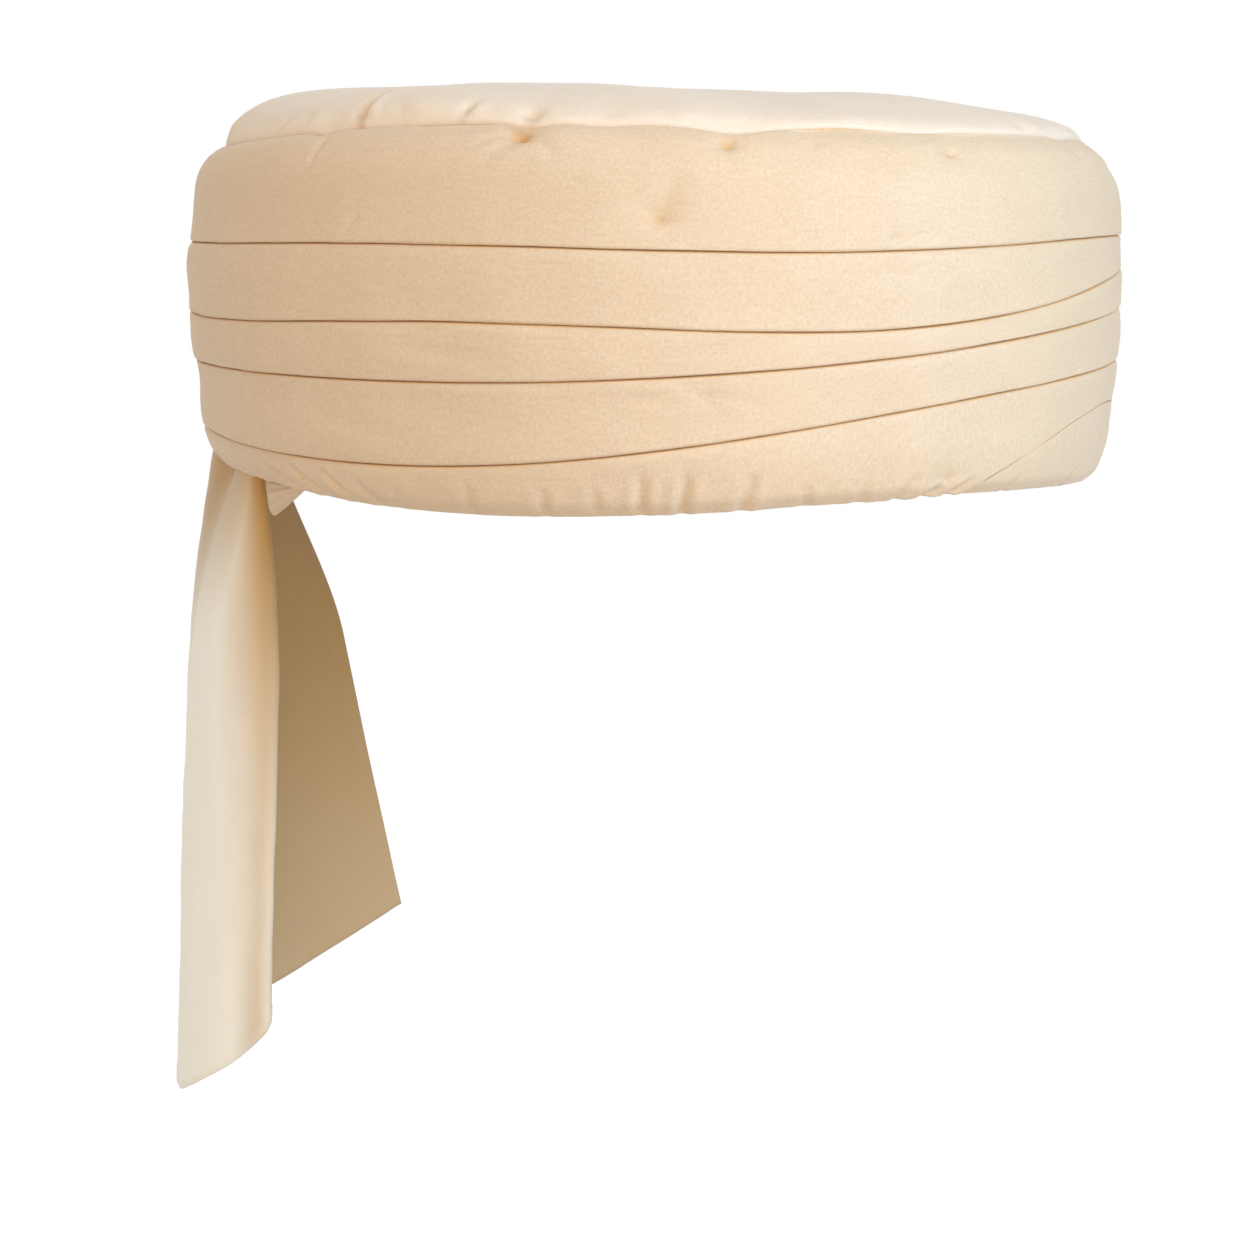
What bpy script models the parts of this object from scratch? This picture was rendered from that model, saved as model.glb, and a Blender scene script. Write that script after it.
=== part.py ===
"""A ready-wound turban: six lapped turns of padded cloth round the head, a soft domed crown
that closes the top, and the cloth's loose end hanging from the rim behind the right ear.

The wearer faces -Y and the wearer's left is +X. The origin is the centre of the oval head
opening, at the height of the rim. Azimuth is measured round the head in degrees: 0 at the
forehead, 90 at the wearer's left, 180 at the back and 270 at the wearer's right. A point is
given by its azimuth, how far out it lies from the head's oval, and its height, in millimetres.
"""

import bmesh
import bpy
import numpy as np

MM = 0.001

# Head opening, and what every piece keeps to
HEAD_HALF_LENGTH = 100.0
HEAD_HALF_WIDTH = 80.0
GAP = 0.3
STATIONS = 56

# Height of each fold line and of the rim, every 30 degrees from the forehead over the
# wearer's left: forehead, left temple, ..., left ear, ..., back, ..., right ear, ...
LINE_HEIGHTS = {
    "seam": (71.9, 71.8, 71.3, 72.2, 72.5, 71.4, 71.9, 72.5, 71.9, 72.8, 73.7, 72.5),
    "fold_1": (50.3, 52.4, 52.3, 52.3, 52.8, 51.8, 51.7, 52.4, 51.4, 50.9, 50.5, 49.2),
    "fold_2": (36.6, 44.1, 47.3, 45.8, 44.8, 42.2, 39.2, 38.2, 36.2, 35.2, 35.9, 34.5),
    "fold_3": (31.6, 36.8, 39.4, 38.5, 36.6, 34.7, 31.0, 27.1, 25.4, 24.5, 24.4, 26.8),
    "fold_4": (21.7, 26.1, 28.3, 27.7, 25.8, 24.7, 20.7, 14.7, 11.0, 8.3, 8.3, 14.3),
    "rim": (2.5, 1.6, 0.7, 0.5, 0.5, 1.1, 0.7, 0.4, 2.0, 0.3, -1.7, 0.3),
}

# Fold 5 leaves the rim near the forehead, runs round the left and sinks back behind the ear
LAP_START, LAP_FULL = -1.0, 34.0
LAP_SINKS, LAP_END = 110.0, 242.0
LAP_HEIGHT = 17.0
LAP_WRAPPED = 3.0

# Outside of the wound band: fraction of the height from rim to seam, distance out from the
# head, and how much further out the wearer's left front stands than the right back
ENVELOPE = (
    (0.00, 7.4, 0.3),
    (0.03, 9.7, 0.4),
    (0.06, 10.8, 0.3),
    (0.09, 11.5, 0.3),
    (0.14, 12.4, 0.2),
    (0.20, 12.9, 0.2),
    (0.25, 13.2, 0.4),
    (0.30, 13.6, 0.5),
    (0.36, 14.3, 0.1),
    (0.43, 14.7, 0.0),
    (0.52, 14.8, 0.0),
    (0.62, 15.0, 0.0),
    (0.70, 14.6, 0.3),
    (0.78, 14.1, 0.6),
    (0.83, 13.8, 0.6),
    (0.89, 13.0, 0.3),
    (0.92, 12.1, 0.0),
    (0.95, 10.9, 0.0),
    (0.98, 8.8, -0.3),
    (1.00, 6.7, -0.2),
)
ENVELOPE_FRONT = 40.0

# Outside of a turn: a dent just under the lip above, an even belly, and a rolled lower lip
LIP_RADIUS = 1.0
DENT_DEPTH = 0.5
DENT_REACH = 2.5
FACE_START, FACE_BELLY = 0.5, 2.0
BELLY_SHARES = (0.0, 0.33, 0.67)

# Underside of a turn: (in from the outside, up from the fold), then up to the head
UNDERSIDE = ((2.0, 0.35), (4.7, 1.8))
UNDERSIDE_RISE = 6.0

# Rim: (out from the head, up from the rim) along its underside, where turn 5 wraps it,
# where turn 6 carries it whole, and where turn 6 is only its inner half
WRAPPED_LIP = (8.9, 1.0)
WRAPPED_UNDERSIDE = ((6.8, 0.0), (5.1, 0.15), (4.7, 1.9), (0.0, 6.4))
RIM_UNDERSIDE = ((6.8, 0.0), (5.0, 0.0), (2.2, 0.1), (0.0, 0.8))
INNER_UNDERSIDE = ((4.25, 0.0), (3.2, 0.0), (1.8, 0.1), (0.0, 0.8))
INNER_TOP = ((4.42, 0.9), (4.45, 0.6))
INNER_FACE_TOP, INNER_FACE_OUT, INNER_FACE_SLANT = 0.5, 4.45, 0.1
LOWEST_FACE_TOP, LOWEST_FACE_FOOT = 0.8, 0.1
LOWEST_FACE_SHARES = (0.0, 0.3, 0.6, 0.85)

# Crown: a cloth shell whose skirt stands on a ledge inside the first turn, whose upper edge
# is rolled in over it: (out from the inner face, down from the seam)
CROWN_WALL = 3.0
SKIRT_OUT = 6.05
SKIRT_IN = SKIRT_OUT - CROWN_WALL
LEDGE_HEIGHT = 61.8
ROLLED_EDGE = ((0.0, 1.2), (0.5, 0.3))
CROWN_EDGE_OUT = 5.8
CROWN_RISE = 12.0
CROWN_FRONT_DROP = 5.2
CROWN_FULLNESS = 5.2
CROWN_SHOULDER = 1.8
CROWN_OUTER_RINGS = (0.985, 0.95, 0.88, 0.76, 0.55, 0.28)
CROWN_INNER_RINGS = (0.96, 0.86, 0.62, 0.3)

# Tail: the lines of its pleats, from the edge beside the neck to the edge behind it. Each
# hangs from its root under the rim, through its place part way down the fall, to the hem.
TAIL_COLUMNS = (
    "line",
    "root_azimuth", "root_out",
    "fall_azimuth", "fall_out",
    "hem_azimuth", "hem_out",
    "hem_height", "opens",
)
TAIL_LINES = (
    ("neck_edge", 251.5, 1.6, 248.0, 1.0, 246.0, 1.2, -121.0, 0.40),
    ("front_side", 255.5, 4.4, 254.0, 1.2, 252.5, 3.0, -122.5, 0.40),
    ("front_crest", 254.5, 6.8, 251.3, 9.7, 248.0, 9.9, -132.0, 0.30),
    ("front_turn", 251.0, 7.4, 241.0, 15.3, 236.7, 18.0, -143.0, 0.22),
    ("valley", 246.5, 4.2, 232.6, 18.0, 228.7, 22.3, -147.5, 0.30),
    ("outer_turn", 237.5, 7.6, 224.4, 19.4, 220.8, 24.5, -144.5, 0.40),
    ("back_pleat", 229.0, 4.0, 215.3, 13.8, 211.0, 20.9, -138.0, 0.40),
    ("back_roll", 222.0, 6.2, 208.4, 7.0, 201.0, 10.2, -130.0, 0.40),
    ("back_flat", 216.0, 4.0, 199.7, 3.5, 189.0, 4.5, -122.0, 0.40),
    ("back_edge", 211.0, 5.4, 193.0, 3.6, 181.0, 4.0, -117.5, 0.40),
)
TAIL_FALL = 0.42
TAIL_THICKNESS = 1.4
ROOT_DROP = 0.4
TAIL_FACES_ACROSS = 28
TAIL_FACES_DOWN = 14
TAIL_ROW_CLOSENESS = 1.3

# Tuck: a small roll of cloth beside the tail's root
TUCK_START, TUCK_END = 256.8, 268.5
TUCK_OUT = 3.4
TUCK_HALF_THICKNESS = 1.25
TUCK_DEPTH = 8.0
TUCK_DEEPEST = 0.2
TUCK_END_THICKNESS = 0.1
TUCK_END_DEPTH = 0.8
TUCK_END_MARGIN = 0.04
TUCK_STATIONS = 8
TUCK_SECTION_POINTS = 10

CLOTH_COLOURS = {
    "crown": (0.791, 0.694, 0.597),
    "turn": (0.791, 0.631, 0.445),
    "tail": (0.831, 0.694, 0.503),
}
CLOTH_ROUGHNESS = 0.75


def smooth_through(knots, values, at):
    """Smooth curve through the rows of a table, read at any place between its knots."""
    knots = np.asarray(knots, float)
    values = np.asarray(values, float)
    slopes = np.gradient(values, knots)
    at = np.clip(at, knots[0], knots[-1])
    row = np.clip(np.searchsorted(knots, at, side="right") - 1, 0, len(knots) - 2)
    span = knots[row + 1] - knots[row]
    u = (at - knots[row]) / span
    start = (1 + 2 * u) * (1 - u) ** 2 * values[row] + u * (1 - u) ** 2 * span * slopes[row]
    end = u * u * (3 - 2 * u) * values[row + 1] - u * u * (1 - u) * span * slopes[row + 1]
    return start + end


def line_height(line, azimuth):
    """Height of a fold line, as the smooth wave through its twelve measured heights."""
    heights = np.array(LINE_HEIGHTS[line])
    count = len(heights)
    away = np.radians(azimuth)[..., None] - 2 * np.pi * np.arange(count) / count
    weight = 1 + np.cos(count / 2 * away)
    for wave in range(1, count // 2):
        weight = weight + 2 * np.cos(wave * away)
    return weight @ heights / count


def lap_height(azimuth):
    """How high fold 5 stands above the rim: a sharp rise at the front, a long sink behind."""
    turned = (np.asarray(azimuth) - LAP_START) % 360.0
    rise = np.sin(np.pi / 2 * np.clip(turned / (LAP_FULL - LAP_START), 0, 1))
    sink = np.clip((turned + LAP_START - LAP_SINKS) / (LAP_END - LAP_SINKS), 0, 1)
    return LAP_HEIGHT * rise * (0.5 + 0.5 * np.cos(np.pi * sink))


def fold_height(fold, azimuth):
    if fold == 5:
        return line_height("rim", azimuth) + lap_height(azimuth)
    return line_height(f"fold_{fold}", azimuth)


def wrapped_share(azimuth):
    """1 where turn 5 wraps the rim and turn 6 is only its inner half, 0 where turn 6 shows."""
    u = np.clip(lap_height(azimuth) / LAP_WRAPPED, 0, 1)
    return 1 - u * u * (3 - 2 * u)


def envelope(height, azimuth):
    """Distance out of the wound band's outside at a height."""
    rim = line_height("rim", azimuth)
    seam = line_height("seam", azimuth)
    fraction = (height - rim) / (seam - rim)
    knots, out, lean = zip(*ENVELOPE)
    swing = np.cos(np.radians(azimuth - ENVELOPE_FRONT))
    return smooth_through(knots, out, fraction) + swing * smooth_through(knots, lean, fraction)


def mix(a, b, share):
    return a + (b - a) * share


def place(azimuth, out, height):
    """Point in space, in metres, from an azimuth, a distance out and a height."""
    angle = np.radians(azimuth)
    x = (HEAD_HALF_WIDTH + out) * np.sin(angle)
    y = -(HEAD_HALF_LENGTH + out) * np.cos(angle)
    return np.stack(np.broadcast_arrays(x, y, height), axis=-1) * MM


def section(points, azimuth):
    """Stack (out, height) pairs, each a number or an array over the stations."""
    pairs = [np.stack(np.broadcast_arrays(out + 0 * azimuth, height), axis=-1)
             for out, height in points]
    return np.stack(pairs, axis=1)


def underside(fold, azimuth):
    """Lower face of the turn above a fold, from its rolled lip in and up to the head."""
    height = fold_height(fold, azimuth)
    lip = envelope(height, azimuth)
    (back, up), (deep, high) = UNDERSIDE
    lapped = section(
        ((lip - LIP_RADIUS, height), (lip - back, height + up),
         (lip - deep, height + high), (0.0, height + UNDERSIDE_RISE)), azimuth)
    if fold < 5:
        return lapped
    rim = line_height("rim", azimuth)
    wrapped = section([(out, rim + up) for out, up in WRAPPED_UNDERSIDE], azimuth)
    return mix(lapped, wrapped, wrapped_share(azimuth)[:, None, None])


def rim_underside(azimuth):
    """Rounded bottom of the rim, or of its inner half where turn 5 wraps it."""
    rim = line_height("rim", azimuth)
    whole = section([(out, rim + up) for out, up in RIM_UNDERSIDE], azimuth)
    inner = section([(out, rim + up) for out, up in INNER_UNDERSIDE], azimuth)
    return mix(whole, inner, wrapped_share(azimuth)[:, None, None])


def laid_under(lower_face):
    """Upper face of a turn, head side first: the lower face above it, moved off by the gap."""
    along = np.gradient(lower_face, axis=1)
    away = np.stack((-along[..., 1], along[..., 0]), axis=-1)
    away /= np.linalg.norm(away, axis=-1, keepdims=True)
    face = lower_face + GAP * away
    face[:, -1] = lower_face[:, -1]
    face[:, -1, 1] += GAP / away[:, -1, 1]
    return face[:, ::-1]


def outer_face(top, bottom, azimuth):
    """Outside of a turn from just under the lip above down to its own lip."""
    belly = top - bottom - LIP_RADIUS - FACE_BELLY
    drops = [FACE_START]
    drops += [FACE_BELLY + share * belly for share in BELLY_SHARES]
    drops += [FACE_BELLY + belly]
    points = []
    for drop in drops:
        dent = DENT_DEPTH * np.clip(1 - drop / DENT_REACH, 0, 1) ** 2
        height = top - drop
        points.append((envelope(height, azimuth) - dent, height))
    return section(points, azimuth)


def first_turn(azimuth):
    """The top turn: a ledge for the crown's skirt, and an upper edge rolled in over it."""
    seam = line_height("seam", azimuth)
    inner = SKIRT_OUT + GAP
    ledge = ((0.0, LEDGE_HEIGHT), (inner, LEDGE_HEIGHT))
    edge = tuple((inner + out, seam - down) for out, down in ROLLED_EDGE)
    return (section(ledge + edge, azimuth),
            outer_face(seam, fold_height(1, azimuth), azimuth),
            underside(1, azimuth))


def middle_turn(number, azimuth):
    """A turn lapped by the one above. Turn 5 also wraps the rim where fold 5 sinks into it."""
    top = laid_under(underside(number - 1, azimuth))[:, :-1]
    outside = outer_face(
        fold_height(number - 1, azimuth), fold_height(number, azimuth), azimuth)
    if number == 5:
        out, up = WRAPPED_LIP
        wrapped = section(((out, line_height("rim", azimuth) + up),), azimuth)
        outside[:, -1:] = mix(outside[:, -1:], wrapped, wrapped_share(azimuth)[:, None, None])
    return top, outside, underside(number, azimuth)


def last_turn(azimuth):
    """The lowest turn, which carries the rim, or only its inner half where turn 5 wraps it."""
    rim = line_height("rim", azimuth)
    share = wrapped_share(azimuth)
    top = laid_under(underside(5, azimuth))
    inner_top = section([(out, rim + up) for out, up in INNER_TOP], azimuth)
    top[:, -2:] = mix(top[:, -2:], inner_top, share[:, None, None])
    face_top = mix(fold_height(5, azimuth) - LOWEST_FACE_TOP, rim + INNER_FACE_TOP, share)
    points = []
    for fall in LOWEST_FACE_SHARES:
        height = mix(face_top, rim + LOWEST_FACE_FOOT, fall)
        inner_out = INNER_FACE_OUT - INNER_FACE_SLANT * fall
        points.append((mix(envelope(height, azimuth), inner_out, share), height))
    return top, section(points, azimuth), rim_underside(azimuth)


def turn_section(number, azimuth):
    """Closed (out, height) outline of one turn at each station."""
    if number == 1:
        faces = first_turn(azimuth)
    elif number == 6:
        faces = last_turn(azimuth)
    else:
        faces = middle_turn(number, azimuth)
    return np.concatenate(faces, axis=1)


def crown_height(share, azimuth):
    """Height of the crown at a share of the way out from its middle to its edge."""
    seam = line_height("seam", azimuth)
    middle = np.mean(LINE_HEIGHTS["seam"])
    base = mix(middle, seam, share)
    rise = CROWN_RISE - CROWN_FRONT_DROP * share * np.cos(np.radians(azimuth))
    return base + rise * (1 - share ** CROWN_FULLNESS) ** (1 / CROWN_SHOULDER)


def closed_mesh(name, rings, poles=()):
    """Mesh of closed rings of points bridged in turn. Each pole closes one end ring; without
    poles the last ring is bridged back to the first. A face's first corner, where it is split
    in two, changes with the way the rings run, so that two turns that lie along each other
    are split alike and the gap between them stays even."""
    spread = [np.linalg.norm(np.asarray(ring)[:, :2], axis=1).mean() for ring in rings]
    model = bmesh.new()
    rows = [[model.verts.new(point) for point in ring] for ring in rings]
    count = len(rows[0])
    last = len(rows) - 1 if poles else len(rows)
    for k in range(last):
        one, other = rows[k], rows[(k + 1) % len(rows)]
        outward = spread[(k + 1) % len(rows)] > spread[k]
        for i in range(count):
            j = (i + 1) % count
            corners = (one[i], one[j], other[j], other[i])
            model.faces.new(corners[1:] + corners[:1] if outward else corners)
    for pole, row in zip(poles, (rows[0], rows[-1])):
        tip = model.verts.new(pole)
        for i in range(count):
            model.faces.new((row[i], row[(i + 1) % count], tip))
    bmesh.ops.recalc_face_normals(model, faces=model.faces)
    mesh = bpy.data.meshes.new(name)
    model.to_mesh(mesh)
    model.free()
    mesh.shade_smooth()
    mesh.set_sharp_from_angle(angle=np.radians(50))
    return mesh


def cloth_material(name, colour):
    """Plain matt cotton."""
    material = bpy.data.materials.new(name)
    material.use_nodes = True
    shader = material.node_tree.nodes["Principled BSDF"]
    shader.inputs["Base Color"].default_value = (*colour, 1.0)
    shader.inputs["Roughness"].default_value = CLOTH_ROUGHNESS
    shader.inputs["Metallic"].default_value = 0.0
    return material


def add_piece(name, mesh, kind):
    piece = bpy.data.objects.new(name, mesh)
    bpy.context.scene.collection.objects.link(piece)
    piece.data.materials.append(cloth_material(f"{name}_cloth", CLOTH_COLOURS[kind]))
    return piece


def add_turn(number):
    """One padded turn: its outline carried round the head."""
    azimuth = 360.0 * np.arange(STATIONS) / STATIONS
    outline = turn_section(number, azimuth)
    rings = [place(azimuth, outline[:, i, 0], outline[:, i, 1]) for i in range(outline.shape[1])]
    name = f"turn_{number}"
    return add_piece(name, closed_mesh(name, rings), "turn")


def add_crown():
    """Domed shell with a skirt, open below where the head goes in."""
    azimuth = 360.0 * np.arange(STATIONS) / STATIONS
    skirt_foot = LEDGE_HEIGHT + GAP
    seam = line_height("seam", azimuth)
    edge = np.ones(STATIONS)

    def ring(out_at_edge, share, height):
        grown = place(azimuth, out_at_edge, 0.0) * share
        grown[:, 2] = height * MM
        return grown

    outer = [ring(CROWN_EDGE_OUT, s, crown_height(s * edge, azimuth)) for s in CROWN_OUTER_RINGS]
    inner = [ring(SKIRT_IN, s, crown_height(s * edge, azimuth) - CROWN_WALL)
             for s in CROWN_INNER_RINGS]
    skirt = [
        place(azimuth, SKIRT_OUT, seam),
        place(azimuth, SKIRT_OUT, skirt_foot + 0 * azimuth),
        place(azimuth, SKIRT_IN, skirt_foot + 0 * azimuth),
        place(azimuth, SKIRT_IN, seam - CROWN_WALL),
    ]
    rings = outer[::-1] + skirt + inner
    top = float(np.mean(LINE_HEIGHTS["seam"])) + CROWN_RISE
    poles = ((0.0, 0.0, top * MM), (0.0, 0.0, (top - CROWN_WALL) * MM))
    return add_piece("crown", closed_mesh("crown", rings, poles), "crown")


def tail_point(across, down):
    """Point of the tail's cloth at a share of its width and of its fall."""
    table = {name: np.array(values) for name, values
             in zip(TAIL_COLUMNS[1:], list(zip(*TAIL_LINES))[1:])}
    knots = np.linspace(0.0, 1.0, len(TAIL_LINES))
    at = {name: smooth_through(knots, values, across) for name, values in table.items()}
    still_gathered = np.clip(1 - down / at["opens"], 0, 1) ** 2
    place_in_fall = (down - TAIL_FALL) / (1 - TAIL_FALL)
    azimuth = mix(mix(at["fall_azimuth"], at["hem_azimuth"], place_in_fall),
                  at["root_azimuth"], still_gathered)
    out = mix(mix(at["fall_out"], at["hem_out"], place_in_fall), at["root_out"], still_gathered)
    top = line_height("rim", at["root_azimuth"]) - ROOT_DROP
    return place(azimuth, out, mix(top, at["hem_height"], down))


def add_tail():
    """The hanging end: one sheet of cloth, given its thickness on both sides."""
    across, down = np.meshgrid(
        np.linspace(0, 1, TAIL_FACES_ACROSS + 1),
        np.linspace(0, 1, TAIL_FACES_DOWN + 1) ** TAIL_ROW_CLOSENESS, indexing="ij")
    points = tail_point(across, down)
    model = bmesh.new()
    grid = [[model.verts.new(point) for point in line] for line in points]
    for left, right in zip(grid, grid[1:]):
        for i in range(TAIL_FACES_DOWN):
            model.faces.new((left[i], right[i], right[i + 1], left[i + 1]))
    bmesh.ops.recalc_face_normals(model, faces=model.faces)
    mesh = bpy.data.meshes.new("tail")
    model.to_mesh(mesh)
    model.free()
    mesh.shade_smooth()
    piece = add_piece("tail", mesh, "tail")
    wall = piece.modifiers.new("thickness", "SOLIDIFY")
    wall.thickness = TAIL_THICKNESS * MM
    wall.offset = 0.0
    wall.use_even_offset = True
    return piece


def add_tuck():
    """A small roll that hangs from the rim, deepest beside the tail and tapering forward."""
    along = np.linspace(TUCK_END_MARGIN, 1 - TUCK_END_MARGIN, TUCK_STATIONS)
    azimuth = mix(TUCK_START, TUCK_END, along)
    rounded = np.minimum(1.0, along / TUCK_DEEPEST) ** 0.5
    tapered = np.clip((1 - along) / (1 - TUCK_DEEPEST), 0, 1)
    depth = TUCK_DEPTH * rounded * tapered + TUCK_END_DEPTH
    half = TUCK_HALF_THICKNESS * np.sqrt(np.sin(np.pi * along)) + TUCK_END_THICKNESS
    top = line_height("rim", azimuth) - ROOT_DROP
    rings = []
    for share in np.arange(TUCK_SECTION_POINTS) / TUCK_SECTION_POINTS:
        turn = 2 * np.pi * share
        height = top - depth * (0.5 - 0.5 * np.cos(turn))
        rings.append(place(azimuth, TUCK_OUT + half * np.sin(turn), height))
    stations = np.swapaxes(np.array(rings), 0, 1)
    poles = (stations[0].mean(axis=0), stations[-1].mean(axis=0))
    return add_piece("tail_tuck", closed_mesh("tail_tuck", stations, poles), "tail")


def main():
    for leftover in list(bpy.data.objects):
        bpy.data.objects.remove(leftover, do_unlink=True)
    add_crown()
    for number in range(1, 7):
        add_turn(number)
    add_tail()
    add_tuck()


main()
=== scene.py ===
"""A ready-wound turban: six lapped turns of padded cloth round the head, a soft crown that
closes the top, and the cloth's loose end hanging from the rim behind the right ear.

The wearer faces -Y and the wearer's left is +X. Shapes are worked out in millimetres: azimuth
is measured round the head in degrees (0 at the forehead, 90 at the wearer's left), a distance
out is measured from the head's oval, and place() turns them into a point in metres.
"""

import bpy
import numpy as np
from mathutils import Matrix, Vector


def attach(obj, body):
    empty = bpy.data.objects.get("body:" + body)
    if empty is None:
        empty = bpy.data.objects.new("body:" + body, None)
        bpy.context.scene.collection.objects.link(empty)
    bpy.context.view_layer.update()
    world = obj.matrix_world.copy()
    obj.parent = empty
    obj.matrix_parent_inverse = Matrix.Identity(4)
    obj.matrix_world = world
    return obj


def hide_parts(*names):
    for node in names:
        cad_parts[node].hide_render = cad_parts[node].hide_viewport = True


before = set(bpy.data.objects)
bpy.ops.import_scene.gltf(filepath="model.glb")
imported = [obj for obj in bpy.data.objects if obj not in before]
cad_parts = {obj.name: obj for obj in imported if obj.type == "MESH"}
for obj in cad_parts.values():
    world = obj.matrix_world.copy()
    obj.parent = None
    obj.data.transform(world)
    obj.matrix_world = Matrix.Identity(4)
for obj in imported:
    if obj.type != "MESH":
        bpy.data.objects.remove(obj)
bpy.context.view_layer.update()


# Studio: a camera level with the turban's side, one large cool soft box to the right of it, a
# weak warm one low on the left and a weak cool one overhead, an even white surround, and a pale
# floor of white acrylic lit from below, which keeps the ground nearly free of shadow.

CAMERA_SWING = np.radians(-35.0)
CAMERA_DISTANCE = 0.6613
CAMERA_HEIGHT = 0.0505
CAMERA_SIDESTEP = -0.0030
CAMERA_PITCH = np.radians(7.36)
CAMERA_LENS = 85.0
CAMERA_FILM = 36.0
FLOOR_HEIGHT = -0.176
FLOOR_HALF_SIZE = 1.3
FLOOR_GLOW = 0.85
SURROUND_SEEN = 1.0  # as the camera sees it, white
SURROUND_BELOW, SURROUND_ABOVE = 0.50, 0.62  # as it lights the cloth from below and above


def linear_colour(code):
    """Linear RGBA of an sRGB hex colour."""
    srgb = np.array([int(code[i:i + 2], 16) for i in (0, 2, 4)]) / 255
    linear = np.where(srgb <= 0.04045, srgb / 12.92, ((srgb + 0.055) / 1.055) ** 2.4)
    return (*linear.tolist(), 1.0)


def add_node(tree, kind, settings=None, **links):
    """Add a node, give its settings, and set or link its inputs by name or number."""
    node = tree.nodes.new(kind)
    for key, value in (settings or {}).items():
        setattr(node, key, value)
    for key, value in links.items():
        name = key.replace("_", " ")
        socket = node.inputs[int(name[2:])] if name.startswith("in") else node.inputs[name]
        if isinstance(value, bpy.types.NodeSocket):
            tree.links.new(value, socket)
        else:
            socket.default_value = value
    return node


def aim_camera():
    """Camera at its swing round the head, pitched down, its film upright."""
    away = Vector((np.sin(CAMERA_SWING), -np.cos(CAMERA_SWING), 0.0))
    right = Vector((np.cos(CAMERA_SWING), np.sin(CAMERA_SWING), 0.0))
    down = Vector((0.0, 0.0, -1.0))
    forward = -away * np.cos(CAMERA_PITCH) + down * np.sin(CAMERA_PITCH)
    lens = bpy.data.cameras.new("camera")
    lens.lens = CAMERA_LENS
    lens.sensor_width = CAMERA_FILM
    lens.clip_start = 0.01
    camera = bpy.data.objects.new("camera", lens)
    bpy.context.scene.collection.objects.link(camera)
    turned = Matrix((right, right.cross(forward), -forward)).transposed().to_4x4()
    turned.translation = away * CAMERA_DISTANCE + right * CAMERA_SIDESTEP
    turned.translation.z += CAMERA_HEIGHT
    camera.matrix_world = turned
    bpy.context.scene.camera = camera


LIGHTS = (
    # name, azimuth, distance and height in metres, width in metres, watts, colour
    ("key", 12.0, 1.45, 0.40, 0.90, 25.0, "ACD3FF"),
    ("fill", 320.0, 1.45, -0.04, 0.70, 10.0, "FFF0DE"),
    ("top", 285.0, 0.80, 1.30, 0.80, 5.0, "DCEAFF"),
)


def hang_light(name, azimuth, distance, height, width, watts, colour):
    """Square soft box that faces the middle of the turban."""
    box = bpy.data.lights.new(name, "AREA")
    box.size = width
    box.energy = watts
    box.color = linear_colour(colour)[:3]
    lamp = bpy.data.objects.new(name, box)
    bpy.context.scene.collection.objects.link(lamp)
    angle = np.radians(azimuth)
    lamp.location = (distance * np.sin(angle), -distance * np.cos(angle), height)
    lamp.rotation_euler = (-lamp.location).to_track_quat("-Z", "Y").to_euler()


aim_camera()
for light in LIGHTS:
    hang_light(*light)

world = bpy.data.worlds.new("white_surround")
bpy.context.scene.world = world
world.use_nodes = True
world.node_tree.nodes.clear()
seen = add_node(world.node_tree, "ShaderNodeLightPath").outputs["Is Camera Ray"]
facing = add_node(world.node_tree, "ShaderNodeTexCoord").outputs["Generated"]
height = add_node(world.node_tree, "ShaderNodeSeparateXYZ", Vector=facing).outputs["Z"]
ramp = add_node(world.node_tree, "ShaderNodeMapRange", in0=height, in1=-1.0, in2=1.0,
                in3=SURROUND_BELOW, in4=SURROUND_ABOVE).outputs[0]
lit = add_node(world.node_tree, "ShaderNodeBackground", Strength=ramp)
shown = add_node(world.node_tree, "ShaderNodeBackground", Strength=SURROUND_SEEN)
for backing in (lit, shown):
    backing.inputs["Color"].default_value = (1.0, 1.0, 1.0, 1.0)
both = add_node(world.node_tree, "ShaderNodeMixShader", Fac=seen,
                in1=lit.outputs[0], in2=shown.outputs[0])
add_node(world.node_tree, "ShaderNodeOutputWorld", Surface=both.outputs[0])
bpy.context.scene.view_settings.view_transform = "Standard"

floor_mesh = bpy.data.meshes.new("floor")
reach = FLOOR_HALF_SIZE
floor_mesh.from_pydata(
    [(-reach, -reach, FLOOR_HEIGHT), (reach, -reach, FLOOR_HEIGHT),
     (reach, reach, FLOOR_HEIGHT), (-reach, reach, FLOOR_HEIGHT)], [], [(0, 1, 2, 3)])
floor = bpy.data.objects.new("floor", floor_mesh)
bpy.context.scene.collection.objects.link(floor)
acrylic = bpy.data.materials.new("white_acrylic")
acrylic.use_nodes = True
glowing = acrylic.node_tree.nodes["Principled BSDF"]
glowing.inputs["Base Color"].default_value = linear_colour("8C8C8C")
glowing.inputs["Roughness"].default_value = 0.9
glowing.inputs["Emission Color"].default_value = linear_colour("FFFFFF")
glowing.inputs["Emission Strength"].default_value = FLOOR_GLOW
floor_mesh.materials.append(acrylic)
floor.visible_diffuse = False


# Crown: one piece of soft cotton laid over light padding, gathered a little all round its edge
# and sewn down inside the first turn. It is paler than the turns, with creases at the seam.

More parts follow.
